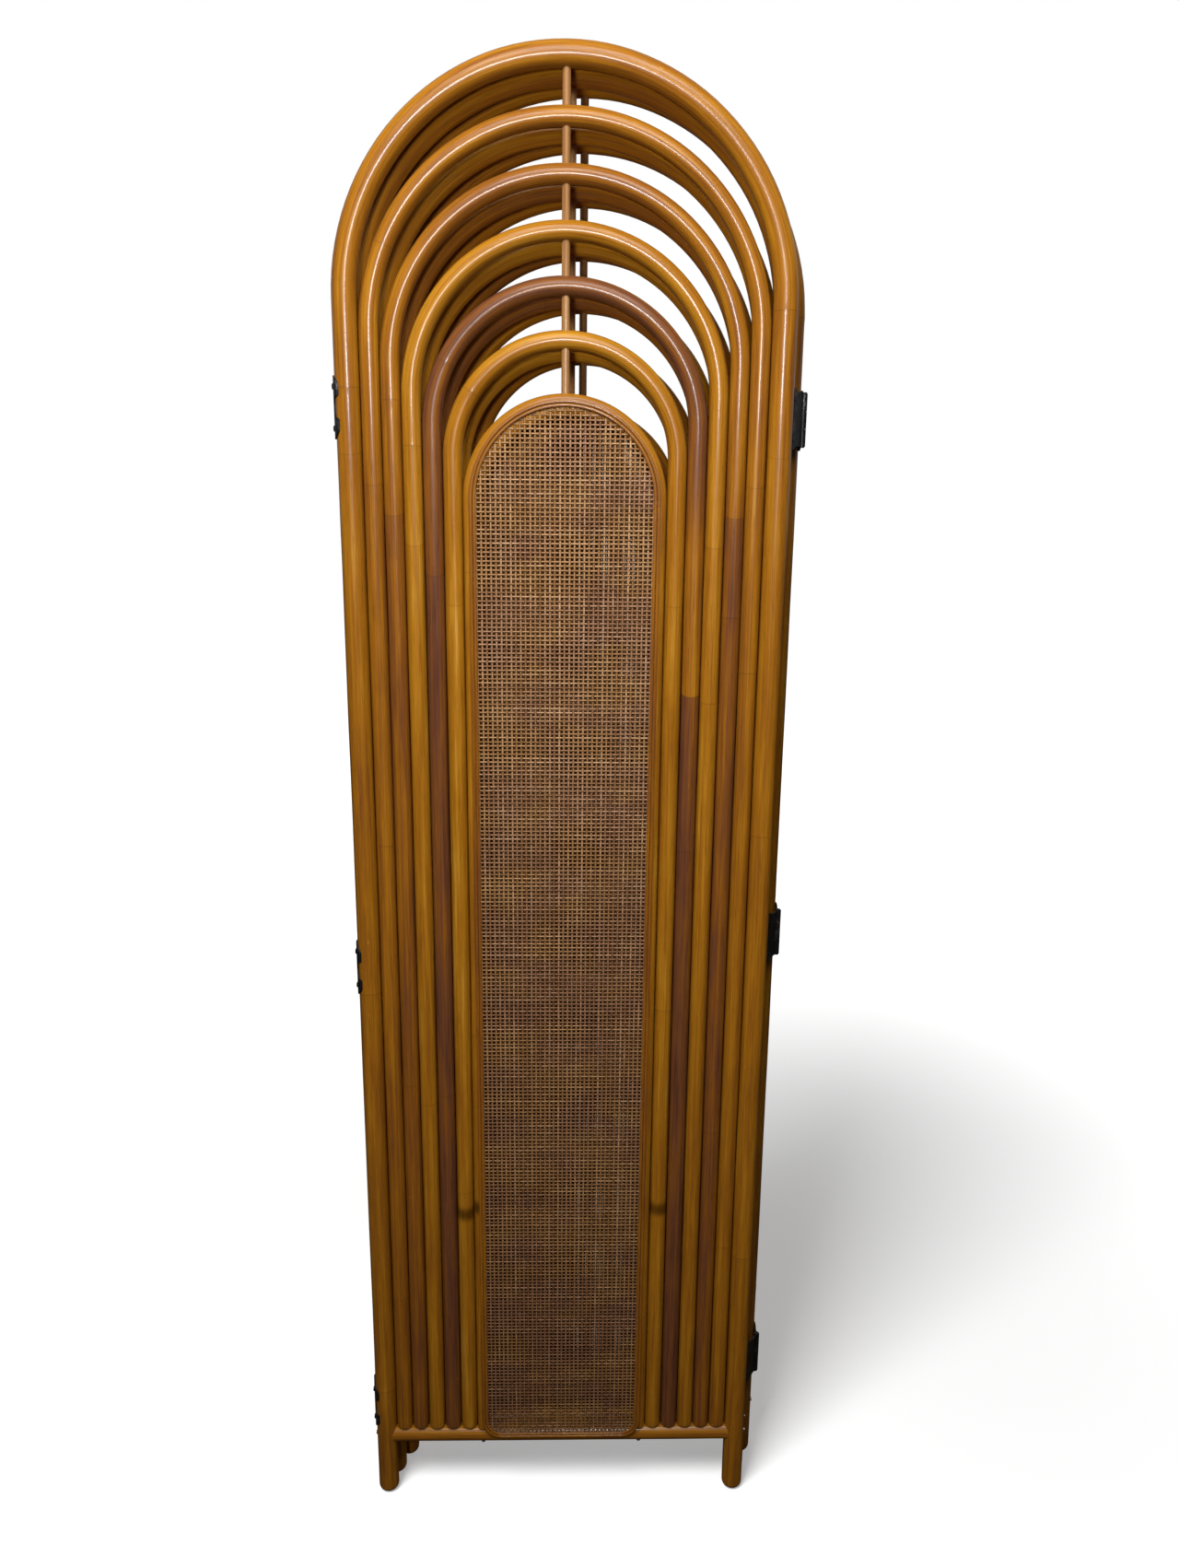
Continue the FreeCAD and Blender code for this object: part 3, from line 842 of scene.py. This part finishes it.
@dataclass
class BentPole:
    """Centre line of one pole: a half circle over two straight legs, with its splices and growth rings."""

    offset: float
    crown: float
    foot: float
    radius: float
    tones: Tones
    seed: int
    depth: float
    tails: Optional[tuple[float, float]]
    end_rounding: float
    knots: tuple[Knot, ...]
    leg_step: float = 0.016
    least_step: float = 0.00015
    bow_steps: int = 56
    end_steps: int = 8
    ring_shifts: tuple[float, ...] = (-0.030, -0.007, -0.003, -0.0012, 0.0, 0.0012, 0.003, 0.007, 0.030)
    knot_shifts: tuple[float, ...] = (-0.014, -0.006, -0.002, 0.0, 0.002, 0.006, 0.014)
    splice_shifts: tuple[float, ...] = (-0.020, -0.008, 0.0, 0.008, 0.020)
    first_ring: tuple[float, float] = (0.15, 0.75)
    ring_spacing: tuple[float, float] = (0.5, 0.95)
    ring_from_end: float = 0.08
    ring_from_splice: float = 0.04
    ring_width: float = 0.0032
    ring_swell: float = 0.015
    tail_start: float = 0.05
    tail_blend: float = 0.10

    def __post_init__(self) -> None:
        """Works out the lengths along the pole."""
        self.leg = self.crown - self.offset - self.foot
        self.bow = math.pi * self.offset
        self.length = 2 * self.leg + self.bow
        self.splices = []
        if self.tails:
            self.splices = [self.leg - self.tails[0], self.length - self.leg + self.tails[1]]
        self.marks = [
            knot.height - self.foot if knot.leg is Leg.LEFT else self.length - knot.height + self.foot
            for knot in self.knots]
        dice = random.Random(self.seed)
        self.rings = []
        place = dice.uniform(*self.first_ring)
        while place < self.length - self.ring_from_end:
            if all(abs(place - splice) > self.ring_from_splice for splice in self.splices):
                self.rings.append(place)
            place += dice.uniform(*self.ring_spacing)

    def at(self, along: float) -> Vector:
        """The centre line's point at a length from the left foot.

        Args:
            along: the length from the left foot.

        Returns:
            The point in the panel's frame.
        """
        turn = min(max((along - self.leg) / self.offset, 0.0), math.pi)
        drop = max(self.leg - along, 0.0) + max(along - self.leg - self.bow, 0.0)
        return Vector((-self.offset * math.cos(turn), self.depth,
                       self.crown - self.offset + self.offset * math.sin(turn) - drop))

    def stations(self) -> list[float]:
        """The lengths that the section is swept through, closer where the shape changes.

        Returns:
            The lengths from the left foot, in order.
        """
        leg_steps = max(2, round(self.leg / self.leg_step))
        from_end = spread(0.0, self.leg, leg_steps)
        turns = [math.radians(angle) for angle in spread(0.0, 90.0, self.end_steps)]
        from_end += [self.end_rounding * (1 - math.cos(turn)) for turn in turns]
        places = {*from_end, *(self.length - place for place in from_end)}
        places |= set(spread(self.leg, self.leg + self.bow, self.bow_steps))
        for marks, shifts in ((self.rings, self.ring_shifts), (self.marks, self.knot_shifts),
                              (self.splices, self.splice_shifts)):
            places |= {mark + shift for mark in marks for shift in shifts}
        kept = []
        for place in sorted(places):
            if 0.0 <= place <= self.length and (not kept or place - kept[-1] > self.least_step):
                kept.append(place)
        kept[-1] = self.length
        return kept

    def thickness(self, along: float) -> float:
        """The share of the full radius at a length: drawn in at a rounded end, swollen at a ring.

        Args:
            along: the length from the left foot.

        Returns:
            The share.
        """
        end = min(along, self.length - along)
        if end < self.end_rounding:
            left = self.end_rounding - end
            inset = self.end_rounding - math.sqrt(max(self.end_rounding ** 2 - left ** 2, 0.0))
            return (self.radius - inset) / self.radius
        swells = (math.exp(-((along - ring) / self.ring_width) ** 2) for ring in self.rings)
        return 1.0 + self.ring_swell * max(swells, default=0.0)

    def stain(self, along: float) -> float:
        """The bow's stain, which may change towards its right tail.

        Args:
            along: the length from the left foot.

        Returns:
            The stain.
        """
        if self.tones.right_tail is None:
            return self.tones.bow
        start = self.length - self.leg + self.tail_start
        share = min(max((along - start) / self.tail_blend, 0.0), 1.0)
        return self.tones.bow + (self.tones.right_tail - self.tones.bow) * share * share * (3 - 2 * share)

    @staticmethod
    def nearest(along: float, marks: list[float]) -> float:
        """The distance to the nearest mark along the pole, up to where marks no longer show."""
        return min([FAR_MARK, *(abs(along - mark) for mark in marks)])

    def point(self, along: float) -> PathPoint:
        """One point of the path with everything that the sweep and the finish need.

        Args:
            along: the length from the left foot.

        Returns:
            The point.
        """
        left = along < self.length / 2
        joint = -FAR_SPLICE
        if self.splices:
            joint = self.splices[0] - along if left else along - self.splices[1]
        leg_stain = self.tones.left if left else self.tones.right
        return PathPoint(self.at(along), along, self.stain(along), leg_stain, self.thickness(along),
                         min(max(joint, -FAR_SPLICE), FAR_SPLICE), self.nearest(along, self.rings),
                         self.nearest(along, self.marks))


class Facing(Enum):
    """The side of the stack that a panel's webbing faces."""

    FORWARD = 0.0
    BACKWARD = math.pi


@dataclass
class Panel:
    """One arched panel: bent poles, spindles, bottom rail, woven insert and its binding."""

    name: str
    facing: Facing
    tones: dict[str, Tones]
    knots: dict[str, tuple[Knot, ...]]
    seed: int
    sweep: SweptCane
    weave: CaneWeave
    finishes: dict[str, Material]
    pole_seed_step: int = 31
    rail_seed: int = 11
    spindle_seed: int = 17
    binding_seed: int = 23
    foot_rounding: float = 0.008
    end_easing: float = 0.45
    rail_sink: float = 0.0008
    bow_tail: float = 0.150
    long_bow_tail: float = 0.280
    pole_wander: float = 0.0006
    unevenness: float = 0.045
    pole_sides: int = 22
    rail_steps: int = 40
    spindle_sides: int = 16
    spindle_steps: int = 6
    pitch_across: float = 0.00525
    pitch_up: float = 0.0047
    front_strand_width: float = 0.0027
    rear_strand_width: float = 0.0034
    row_narrowing: float = 0.0003
    strand_thickness: float = 0.0008
    strand_wave: float = 0.00045
    strand_jitter: float = 0.00022
    weave_margin: float = 0.0015
    binding_width: float = 0.0033
    binding_gap: float = 0.0004
    binding_clearance: float = 0.0001
    binding_thickness: float = 0.0017
    binding_corner: float = 0.025
    binding_sides: int = 10
    arch_steps: int = 72
    side_steps: int = 60
    corner_steps: int = 10

    def __post_init__(self) -> None:
        """Reads the panel's place and its rail from the frame."""
        low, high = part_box(f"{self.name}_outer_frame")
        self.centre = (low + high) / 2
        self.turn = -1.0 if self.facing is Facing.BACKWARD else 1.0
        low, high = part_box(f"{self.name}_bottom_rail")
        self.rail_height = (low.z + high.z) / 2
        self.rail_radius = (high.z - low.z) / 2
        self.poles: list[BentPole] = []

    def place(self) -> Matrix:
        """From the panel's own frame to the stack."""
        shift = Matrix.Translation((self.centre.x, self.centre.y, 0.0))
        return shift @ Matrix.Rotation(self.facing.value, 4, "Z")

    def depth(self, node: str) -> float:
        """How far a node's middle lies from the panel's middle plane, in the panel's own frame."""
        low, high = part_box(f"{self.name}_{node}")
        return ((low.y + high.y) / 2 - self.centre.y) * self.turn

    def finish(self, mesh: Mesh, piece: str, node: str, slot: str) -> None:
        """Puts a finished mesh in the stack as a piece that stands for a CAD node.

        Args:
            mesh: the mesh in the panel's own frame.
            piece: the piece's name in the panel.
            node: the CAD node's name in the panel.
            slot: the name of its finish's slot; not used.
        """
        mesh.name = f"{self.name}_{piece}"
        mesh.transform(self.place())
        made = bpy.data.objects.new(mesh.name, mesh)
        bpy.context.scene.collection.objects.link(made)
        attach(made, f"{self.name}_panel")
        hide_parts(f"{self.name}_{node}")
        log.info("%s: %d faces", made.name, len(mesh.polygons))

    def swept(self, runs: list[list[PathPoint]], width: float, thickness: float, slot: str, seed: int,
              sides: int, wander: float = 0.0, closed: bool = False) -> Mesh:
        """Sweeps a round or flattened section along some paths."""
        return self.sweep.run(path_mesh(runs, closed), {
            "Width": width, "Thickness": thickness, "Sides": sides, "Wander": wander,
            "Unevenness": self.unevenness, "Seed": float(seed), "Material": self.finishes[slot]})

    def read_pole(self, node: str, number: int) -> BentPole:
        """A pole's centre line from its node's box.

        Args:
            node: the pole's name in the panel.
            number: its place from the outside in.

        Returns:
            The centre line.
        """
        low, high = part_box(f"{self.name}_{node}")
        radius = (high.y - low.y) / 2
        foot = self.rail_height + self.rail_radius - self.rail_sink
        rounding = self.end_easing * radius
        if node == "outer_frame":
            foot = low.z
            rounding = self.foot_rounding
        tails = (self.bow_tail, self.long_bow_tail if node == "arch_5" else self.bow_tail)
        return BentPole((high.x - low.x) / 2 - radius, high.z - radius, foot, radius, self.tones[node],
                        self.seed * self.pole_seed_step + number, self.depth(node),
                        None if node == "insert_rod" else tails, rounding, self.knots.get(node, ()))

    def build_poles(self) -> None:
        """Makes the outer frame, the nested poles and the insert rod."""
        slots = {"outer_frame": "rattan_post", "insert_rod": "rattan_rod"}
        for number, node in enumerate(["outer_frame", *(f"arch_{n}" for n in range(2, 7)), "insert_rod"]):
            pole = self.read_pole(node, number)
            slot = slots.get(node, "rattan_pole")
            run = [pole.point(along) for along in pole.stations()]
            width = 2 * pole.radius
            mesh = self.swept([run], width, width, slot, pole.seed, self.pole_sides, self.pole_wander)
            self.finish(mesh, f"{node}_cane", node, slot)
            self.poles.append(pole)

    def build_rail(self) -> None:
        """Makes the bottom rail, coped onto the posts."""
        post = self.poles[0]
        reach = post.offset - post.radius + SEATING
        run = [PathPoint(Vector((across, 0.0, self.rail_height)), across, self.tones["rail"].bow)
               for across in spread(-reach, reach, self.rail_steps)]
        run[0].cope_onto((-1.0, 0.0, 0.0), post.radius)
        run[-1].cope_onto((1.0, 0.0, 0.0), post.radius)
        width = 2 * self.rail_radius
        mesh = self.swept([run], width, width, "rattan_rail", self.seed + self.rail_seed, self.pole_sides,
                          self.pole_wander)
        self.finish(mesh, "bottom_rail_cane", "bottom_rail", "rattan_rail")

    def build_spindles(self) -> None:
        """Makes the short uprights between the crowns."""
        low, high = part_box(f"{self.name}_spindles")
        width = high.x - low.x
        runs = []
        for upper, lower in zip(self.poles, self.poles[1:]):
            top = upper.crown - upper.radius + SEATING
            foot = lower.crown + lower.radius - SEATING
            run = [PathPoint(Vector((0.0, lower.depth / 2, height)), height, self.tones["spindles"].bow)
                   for height in spread(foot, top, self.spindle_steps)]
            run[0].cope_onto((0.0, 0.0, -1.0), lower.radius, lower.depth)
            run[-1].cope_onto((0.0, 0.0, 1.0), upper.radius, upper.depth)
            runs.append(run)
        mesh = self.swept(runs, width, width, "rattan_spindle", self.seed + self.spindle_seed,
                          self.spindle_sides)
        self.finish(mesh, "spindles_cane", "spindles", "rattan_spindle")

    def build_webbing(self) -> None:
        """Makes the upright and the level strands of the woven cane."""
        low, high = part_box(f"{self.name}_webbing")
        half = (high.x - low.x) / 2
        width = self.front_strand_width if self.name == "front" else self.rear_strand_width
        shared = {
            "Columns": 2 * int(half / self.pitch_across) + 1, "Rows": int((high.z - low.z) / self.pitch_up),
            "Pitch Across": self.pitch_across, "Pitch Up": self.pitch_up, "Spring": high.z - half,
            "Half Width": half - self.weave_margin, "Low": low.z + self.pitch_up / 2,
            "Corner": self.binding_corner, "Face": self.depth("webbing"), "Wave": self.strand_wave,
            "Strand Thickness": self.strand_thickness, "Jitter": self.strand_jitter,
            "Material": self.finishes["cane_webbing"]}
        for upright, piece, strand_width, step in ((True, "webbing_uprights", width, 1),
                                                   (False, "webbing_rows", width - self.row_narrowing, 2)):
            own = {"Upright": upright, "Strand Width": strand_width, "Seed": self.seed + step}
            mesh = self.weave.run(bpy.data.meshes.new("start"), {**shared, **own})
            self.finish(mesh, piece, "webbing", "cane_webbing")

    def outline(self, inset: float) -> list[PathPoint]:
        """The arched outline of the insert, drawn in by an inset, as a closed path.

        Args:
            inset: the distance inside the webbing's edge.

        Returns:
            The path.
        """
        low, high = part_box(f"{self.name}_webbing")
        half = (high.x - low.x) / 2 - inset
        spring = high.z - half - inset
        corner = self.binding_corner - inset
        bend = low.z + inset + corner
        side = spread(bend, spring, self.side_steps)[1:-1]
        flat = arc(0.0, spring, half, 0.0, 180.0, self.arch_steps)
        flat += [(-half, height) for height in reversed(side)]
        flat += arc(corner - half, bend, corner, 180.0, 270.0, self.corner_steps)
        flat += arc(half - corner, bend, corner, 270.0, 360.0, self.corner_steps)
        flat += [(half, height) for height in side]
        places = [Vector((x, self.depth("binding"), z)) for x, z in flat]
        points = []
        along = 0.0
        for last, place in zip([places[0], *places], places):
            along += (place - last).length
            points.append(PathPoint(place, along, self.tones["binding"].bow))
        return points

    def build_binding(self) -> None:
        """Makes the two split-cane strands over the webbing's edge."""
        step = self.binding_width + self.binding_gap
        runs = [self.outline(self.binding_width / 2 + step * number) for number in range(2)]
        mesh = self.swept(runs, step - self.binding_clearance, self.binding_thickness, "cane_binding",
                          self.seed + self.binding_seed, self.binding_sides, closed=True)
        self.finish(mesh, "binding_strands", "binding", "cane_binding")

    def build(self) -> None:
        """Makes the whole panel and dresses the nails under its rail."""
        self.build_poles()
        self.build_rail()
        self.build_spindles()
        self.build_webbing()
        self.build_binding()
        dress(f"{self.name}_rail_nails", self.finishes["nail_steel"])


def dress(node: str, material: Material) -> None:
    """Gives a CAD node a finish.

    Args:
        node: the node's name.
        material: the finish.
    """
    made = frame["nodes"][node]
    made.data.materials.clear()
    made.data.materials.append(material)
    log.info("%s: dressed with %s", node, material.name)


@dataclass
class HingeLine:
    """The butterfly hinges on one side of the stack."""

    side: str
    panels: tuple[str, str]
    finishes: dict[str, Material]
    levels: tuple[str, ...] = ("lower", "centre", "upper")

    def build(self) -> None:
        """Dresses the leaves, the pins and the screws."""
        for level in self.levels:
            for panel in self.panels:
                dress(f"{self.side}_{level}_{panel}_leaf", self.finishes["hinge_iron"])
            dress(f"{self.side}_{level}_pin", self.finishes["hinge_iron"])
        for panel in self.panels:
            dress(f"{self.side}_{panel}_screws", self.finishes["screw_steel"])


class Lit(Enum):
    """What a lamp lights, by the name of its group."""

    SCREEN = "all_but_floor"
    FRONT = "front_panel_and_hinges"
    REAR = "rear_poles"
    FLOOR = "floor_only"


@dataclass(frozen=True)
class Lamp:
    """A soft oblong lamp with its place, its aim, its size in metres and its power in watts."""

    name: str
    place: Triple
    target: Triple
    width: float
    height: float
    power: float
    lights: Lit
    shines: bool = True

    def build(self, group: Collection) -> None:
        """Adds the lamp, which shows as a highlight on varnish only if it shines.

        Args:
            group: the group of what it lights or leaves out.
        """
        light = bpy.data.lights.new(self.name, "AREA")
        light.shape = "RECTANGLE"
        light.size = self.width
        light.size_y = self.height
        light.energy = self.power
        lamp = bpy.data.objects.new(self.name, light)
        lamp.location = self.place
        lamp.rotation_euler = (Vector(self.target) - Vector(self.place)).to_track_quat("-Z", "Y").to_euler()
        lamp.light_linking.receiver_collection = group
        lamp.visible_glossy = self.shines
        bpy.context.scene.collection.objects.link(lamp)


@dataclass
class Studio:
    """Pale floor, soft lamps and the camera."""

    camera_place: Triple = (-0.0095, -1.325, 1.2846)
    camera_down: float = 14.04
    camera_right: float = 1.29
    camera_roll: float = 0.55
    lens: float = 27.05
    fill: float = 0.10
    floor_reach: float = 30.0
    lamps: tuple[Lamp, ...] = (
        Lamp("key_lamp", (-0.12, -1.0, 2.3), (0.0, 0.0, 1.0), 0.90, 0.60, 20.0, Lit.SCREEN, False),
        Lamp("sheen_lamp", (0.10, -1.0, 2.3), (0.0, 0.0, 1.0), 0.90, 0.60, 9.3, Lit.SCREEN),
        Lamp("side_lamp", (-1.0, -1.6, 2.6), (0.0, 0.0, 0.7), 1.00, 1.00, 22.5, Lit.SCREEN, False),
        Lamp("front_lamp", (0.05, -1.40, 1.55), (0.0, 0.0, 1.2), 0.22, 0.22, 8.9, Lit.FRONT),
        Lamp("rear_lamp", (-0.35, -1.35, 1.30), (0.05, 0.0, 1.4), 0.22, 0.22, 11.0, Lit.REAR, False),
        Lamp("back_lamp", (1.0, 2.0, 1.7), (0.0, 0.0, 0.9), 1.20, 1.20, 55.0, Lit.SCREEN, False),
        Lamp("floor_lamp", (-1.05, -1.7, 3.6), (0.3, 0.5, 0.0), 1.30, 1.30, 136.0, Lit.FLOOR))

    def build(self) -> None:
        """Makes the whole setting."""
        floor = self.build_floor()
        self.build_world()
        groups = self.groups(floor)
        for lamp in self.lamps:
            lamp.build(groups[lamp.lights])
        self.build_camera()
        bpy.context.scene.view_settings.view_transform = "Standard"

    @staticmethod
    def groups(floor: Object) -> dict[Lit, Collection]:
        """A group of what each kind of lamp leaves out or, for the floor's lamp, of what it lights.

        Args:
            floor: the floor.

        Returns:
            The groups.
        """
        pieces = [made for made in bpy.data.objects if made is not floor]
        behind = [made for made in pieces if made.name.startswith(("middle_", "back_"))]
        ahead = [made for made in pieces if made not in behind or "_webbing_" in made.name]
        members = {Lit.SCREEN: [], Lit.FRONT: behind, Lit.REAR: ahead, Lit.FLOOR: []}
        groups = {lit: bpy.data.collections.new(lit.value) for lit in members}
        for lit, group in groups.items():
            state = "INCLUDE" if lit is Lit.FLOOR else "EXCLUDE"
            for number, member in enumerate([floor, *members[lit]]):
                group.objects.link(member)
                group.collection_objects[number].light_linking.link_state = state
        return groups

    def build_floor(self) -> Object:
        """Makes the pale floor, which fades to white away from the screen.

        Returns:
            The floor.
        """
        mesh = bpy.data.meshes.new("floor")
        reach = self.floor_reach
        corners = [(-reach, -reach, 0.0), (reach, -reach, 0.0), (reach, reach, 0.0), (-reach, reach, 0.0)]
        mesh.from_pydata(corners, [], [(0, 1, 2, 3)])
        floor = bpy.data.objects.new("floor", mesh)
        bpy.context.scene.collection.objects.link(floor)
        shade = Shade("pale_floor")
        away = shade.length(shade.coordinates())
        strength = shade.scale_range(away, 0.5, 2.6, 0.33, 1.0, True)
        glow = shade.out("ShaderNodeEmission", {"Color": (1.0, 1.0, 1.0, 1.0), "Strength": strength})
        pale = shade.out("ShaderNodeBsdfDiffuse", {"Color": (0.95, 0.95, 0.95, 1.0)})
        dull = shade.out("ShaderNodeBsdfDiffuse", {"Color": (0.06, 0.04, 0.02, 1.0)})
        lit = shade.out("ShaderNodeAddShader", {0: pale, 1: glow})
        mixed = shade.out("ShaderNodeMixShader", {0: self.seen(shade), 1: dull, 2: lit})
        shade.feed(shade.tree.nodes["Material Output"].inputs["Surface"], mixed)
        mesh.materials.append(shade.material)
        return floor

    @staticmethod
    def ray(nodes: Nodes, kind: str) -> Value:
        """One for light paths of one kind."""
        return nodes.out("ShaderNodeLightPath", None, f"Is {kind} Ray")

    def seen(self, nodes: Nodes) -> Value:
        """One for rays that show the background: to the camera or through glass."""
        return nodes.math("MAXIMUM", self.ray(nodes, "Camera"), self.ray(nodes, "Transmission"))

    def build_world(self) -> None:
        """Makes the white surround, which lights the screen only softly."""
        world = bpy.data.worlds.new("studio")
        world.use_nodes = True
        bpy.context.scene.world = world
        nodes = Nodes(world.node_tree)
        backward = nodes.split(nodes.coordinates("Generated"))[1]
        gloss = nodes.scale_range(backward, -0.2, 0.6, 0.03, 0.3, True) * self.ray(nodes, "Glossy")
        soft = self.ray(nodes, "Diffuse") * self.fill
        back = world.node_tree.nodes["Background"]
        nodes.feed(back.inputs["Color"], (1.0, 1.0, 1.0, 1.0))
        nodes.feed(back.inputs["Strength"], nodes.math("MAXIMUM", self.seen(nodes), gloss) + soft)

    def build_camera(self) -> None:
        """Adds the camera at the photograph's viewpoint."""
        data = bpy.data.cameras.new("camera")
        data.sensor_width = 36.0
        data.lens = self.lens
        camera = bpy.data.objects.new("camera", data)
        camera.location = self.camera_place
        turn = (Matrix.Rotation(math.radians(-self.camera_right), 3, "Z")
                @ Matrix.Rotation(math.radians(90.0 - self.camera_down), 3, "X")
                @ Matrix.Rotation(math.radians(self.camera_roll), 3, "Z"))
        camera.rotation_euler = turn.to_euler()
        bpy.context.scene.collection.objects.link(camera)
        bpy.context.scene.camera = camera


SPINDLE_STOPS = (
    (0.00, (0.040, 0.016, 0.009)),
    (0.45, (0.160, 0.066, 0.020)),
    (0.75, (0.255, 0.122, 0.040)),
    (1.00, (0.400, 0.225, 0.090)))
FINISHES = (
    RattanFinish("honey_post", "rattan_post"),
    RattanFinish("varnished_pole", "rattan_pole"),
    RattanFinish("varnished_rod", "rattan_rod"),
    RattanFinish("varnished_rail", "rattan_rail"),
    RattanFinish("varnished_spindle", "rattan_spindle", SPINDLE_STOPS),
    RattanFinish("split_cane", "cane_binding", roughness=0.26),
    CaneFinish("woven_cane", "cane_webbing"),
    MetalFinish("black_hinge_iron", "hinge_iron", (0.010, 0.010, 0.011), (0.16, 0.15, 0.14),
                0.06, 0.42, 0.6),
    MetalFinish("black_screw_steel", "screw_steel", (0.014, 0.013, 0.013), (0.22, 0.21, 0.19),
                0.08, 0.38, 0.8),
    MetalFinish("dull_nail_steel", "nail_steel", (0.30, 0.28, 0.26), (0.16, 0.09, 0.05), 0.08, 0.45, 0.9))

FRONT_TONES = {
    "outer_frame": Tones(0.66, 0.63, 0.66),
    "arch_2": Tones(0.62, 0.57, 0.62),
    "arch_3": Tones(0.57, 0.48, 0.43),
    "arch_4": Tones(0.76, 0.71, 0.70),
    "arch_5": Tones(0.36, 0.31, 0.32, 0.62),
    "arch_6": Tones(0.74, 0.76, 0.72),
    "insert_rod": Tones(0.68, 0.68, 0.68),
    "rail": Tones(0.64, 0.64, 0.64),
    "spindles": Tones(0.74, 0.74, 0.74),
    "binding": Tones(0.50, 0.50, 0.50)}
MIDDLE_TONES = {
    **FRONT_TONES,
    "outer_frame": Tones(0.60, 0.66, 0.62),
    "arch_2": Tones(0.68, 0.64, 0.60),
    "arch_3": Tones(0.52, 0.48, 0.55),
    "arch_4": Tones(0.70, 0.72, 0.66),
    "arch_5": Tones(0.44, 0.40, 0.50, 0.58),
    "arch_6": Tones(0.72, 0.66, 0.70)}
BACK_TONES = {
    **FRONT_TONES,
    "outer_frame": Tones(0.64, 0.60, 0.67),
    "arch_2": Tones(0.56, 0.62, 0.58),
    "arch_3": Tones(0.64, 0.60, 0.56),
    "arch_4": Tones(0.46, 0.42, 0.50),
    "arch_5": Tones(0.72, 0.68, 0.64, 0.70),
    "arch_6": Tones(0.58, 0.62, 0.66)}

FRONT_KNOTS = {"arch_6": (Knot(Leg.LEFT, 0.414), Knot(Leg.RIGHT, 0.420)),
               "insert_rod": (Knot(Leg.LEFT, 0.424),)}
MIDDLE_KNOTS = {"arch_3": (Knot(Leg.LEFT, 0.620),), "arch_5": (Knot(Leg.RIGHT, 0.980),)}
BACK_KNOTS = {"arch_2": (Knot(Leg.RIGHT, 0.860),), "arch_6": (Knot(Leg.LEFT, 0.540),)}


def main() -> None:
    """Builds the panels, the hinges and the studio, and reports each piece."""
    logging.basicConfig(level=logging.INFO, format="%(name)s: %(message)s")
    finishes = {finish.slot: finish.material() for finish in FINISHES}
    tools = (SweptCane(), CaneWeave(), finishes)
    Panel("front", Facing.FORWARD, FRONT_TONES, FRONT_KNOTS, 1, *tools).build()
    Panel("middle", Facing.BACKWARD, MIDDLE_TONES, MIDDLE_KNOTS, 2, *tools).build()
    Panel("back", Facing.FORWARD, BACK_TONES, BACK_KNOTS, 3, *tools).build()
    HingeLine("left", ("front", "middle"), finishes).build()
    HingeLine("right", ("middle", "back"), finishes).build()
    Studio().build()


if __name__ == "__main__":
    main()
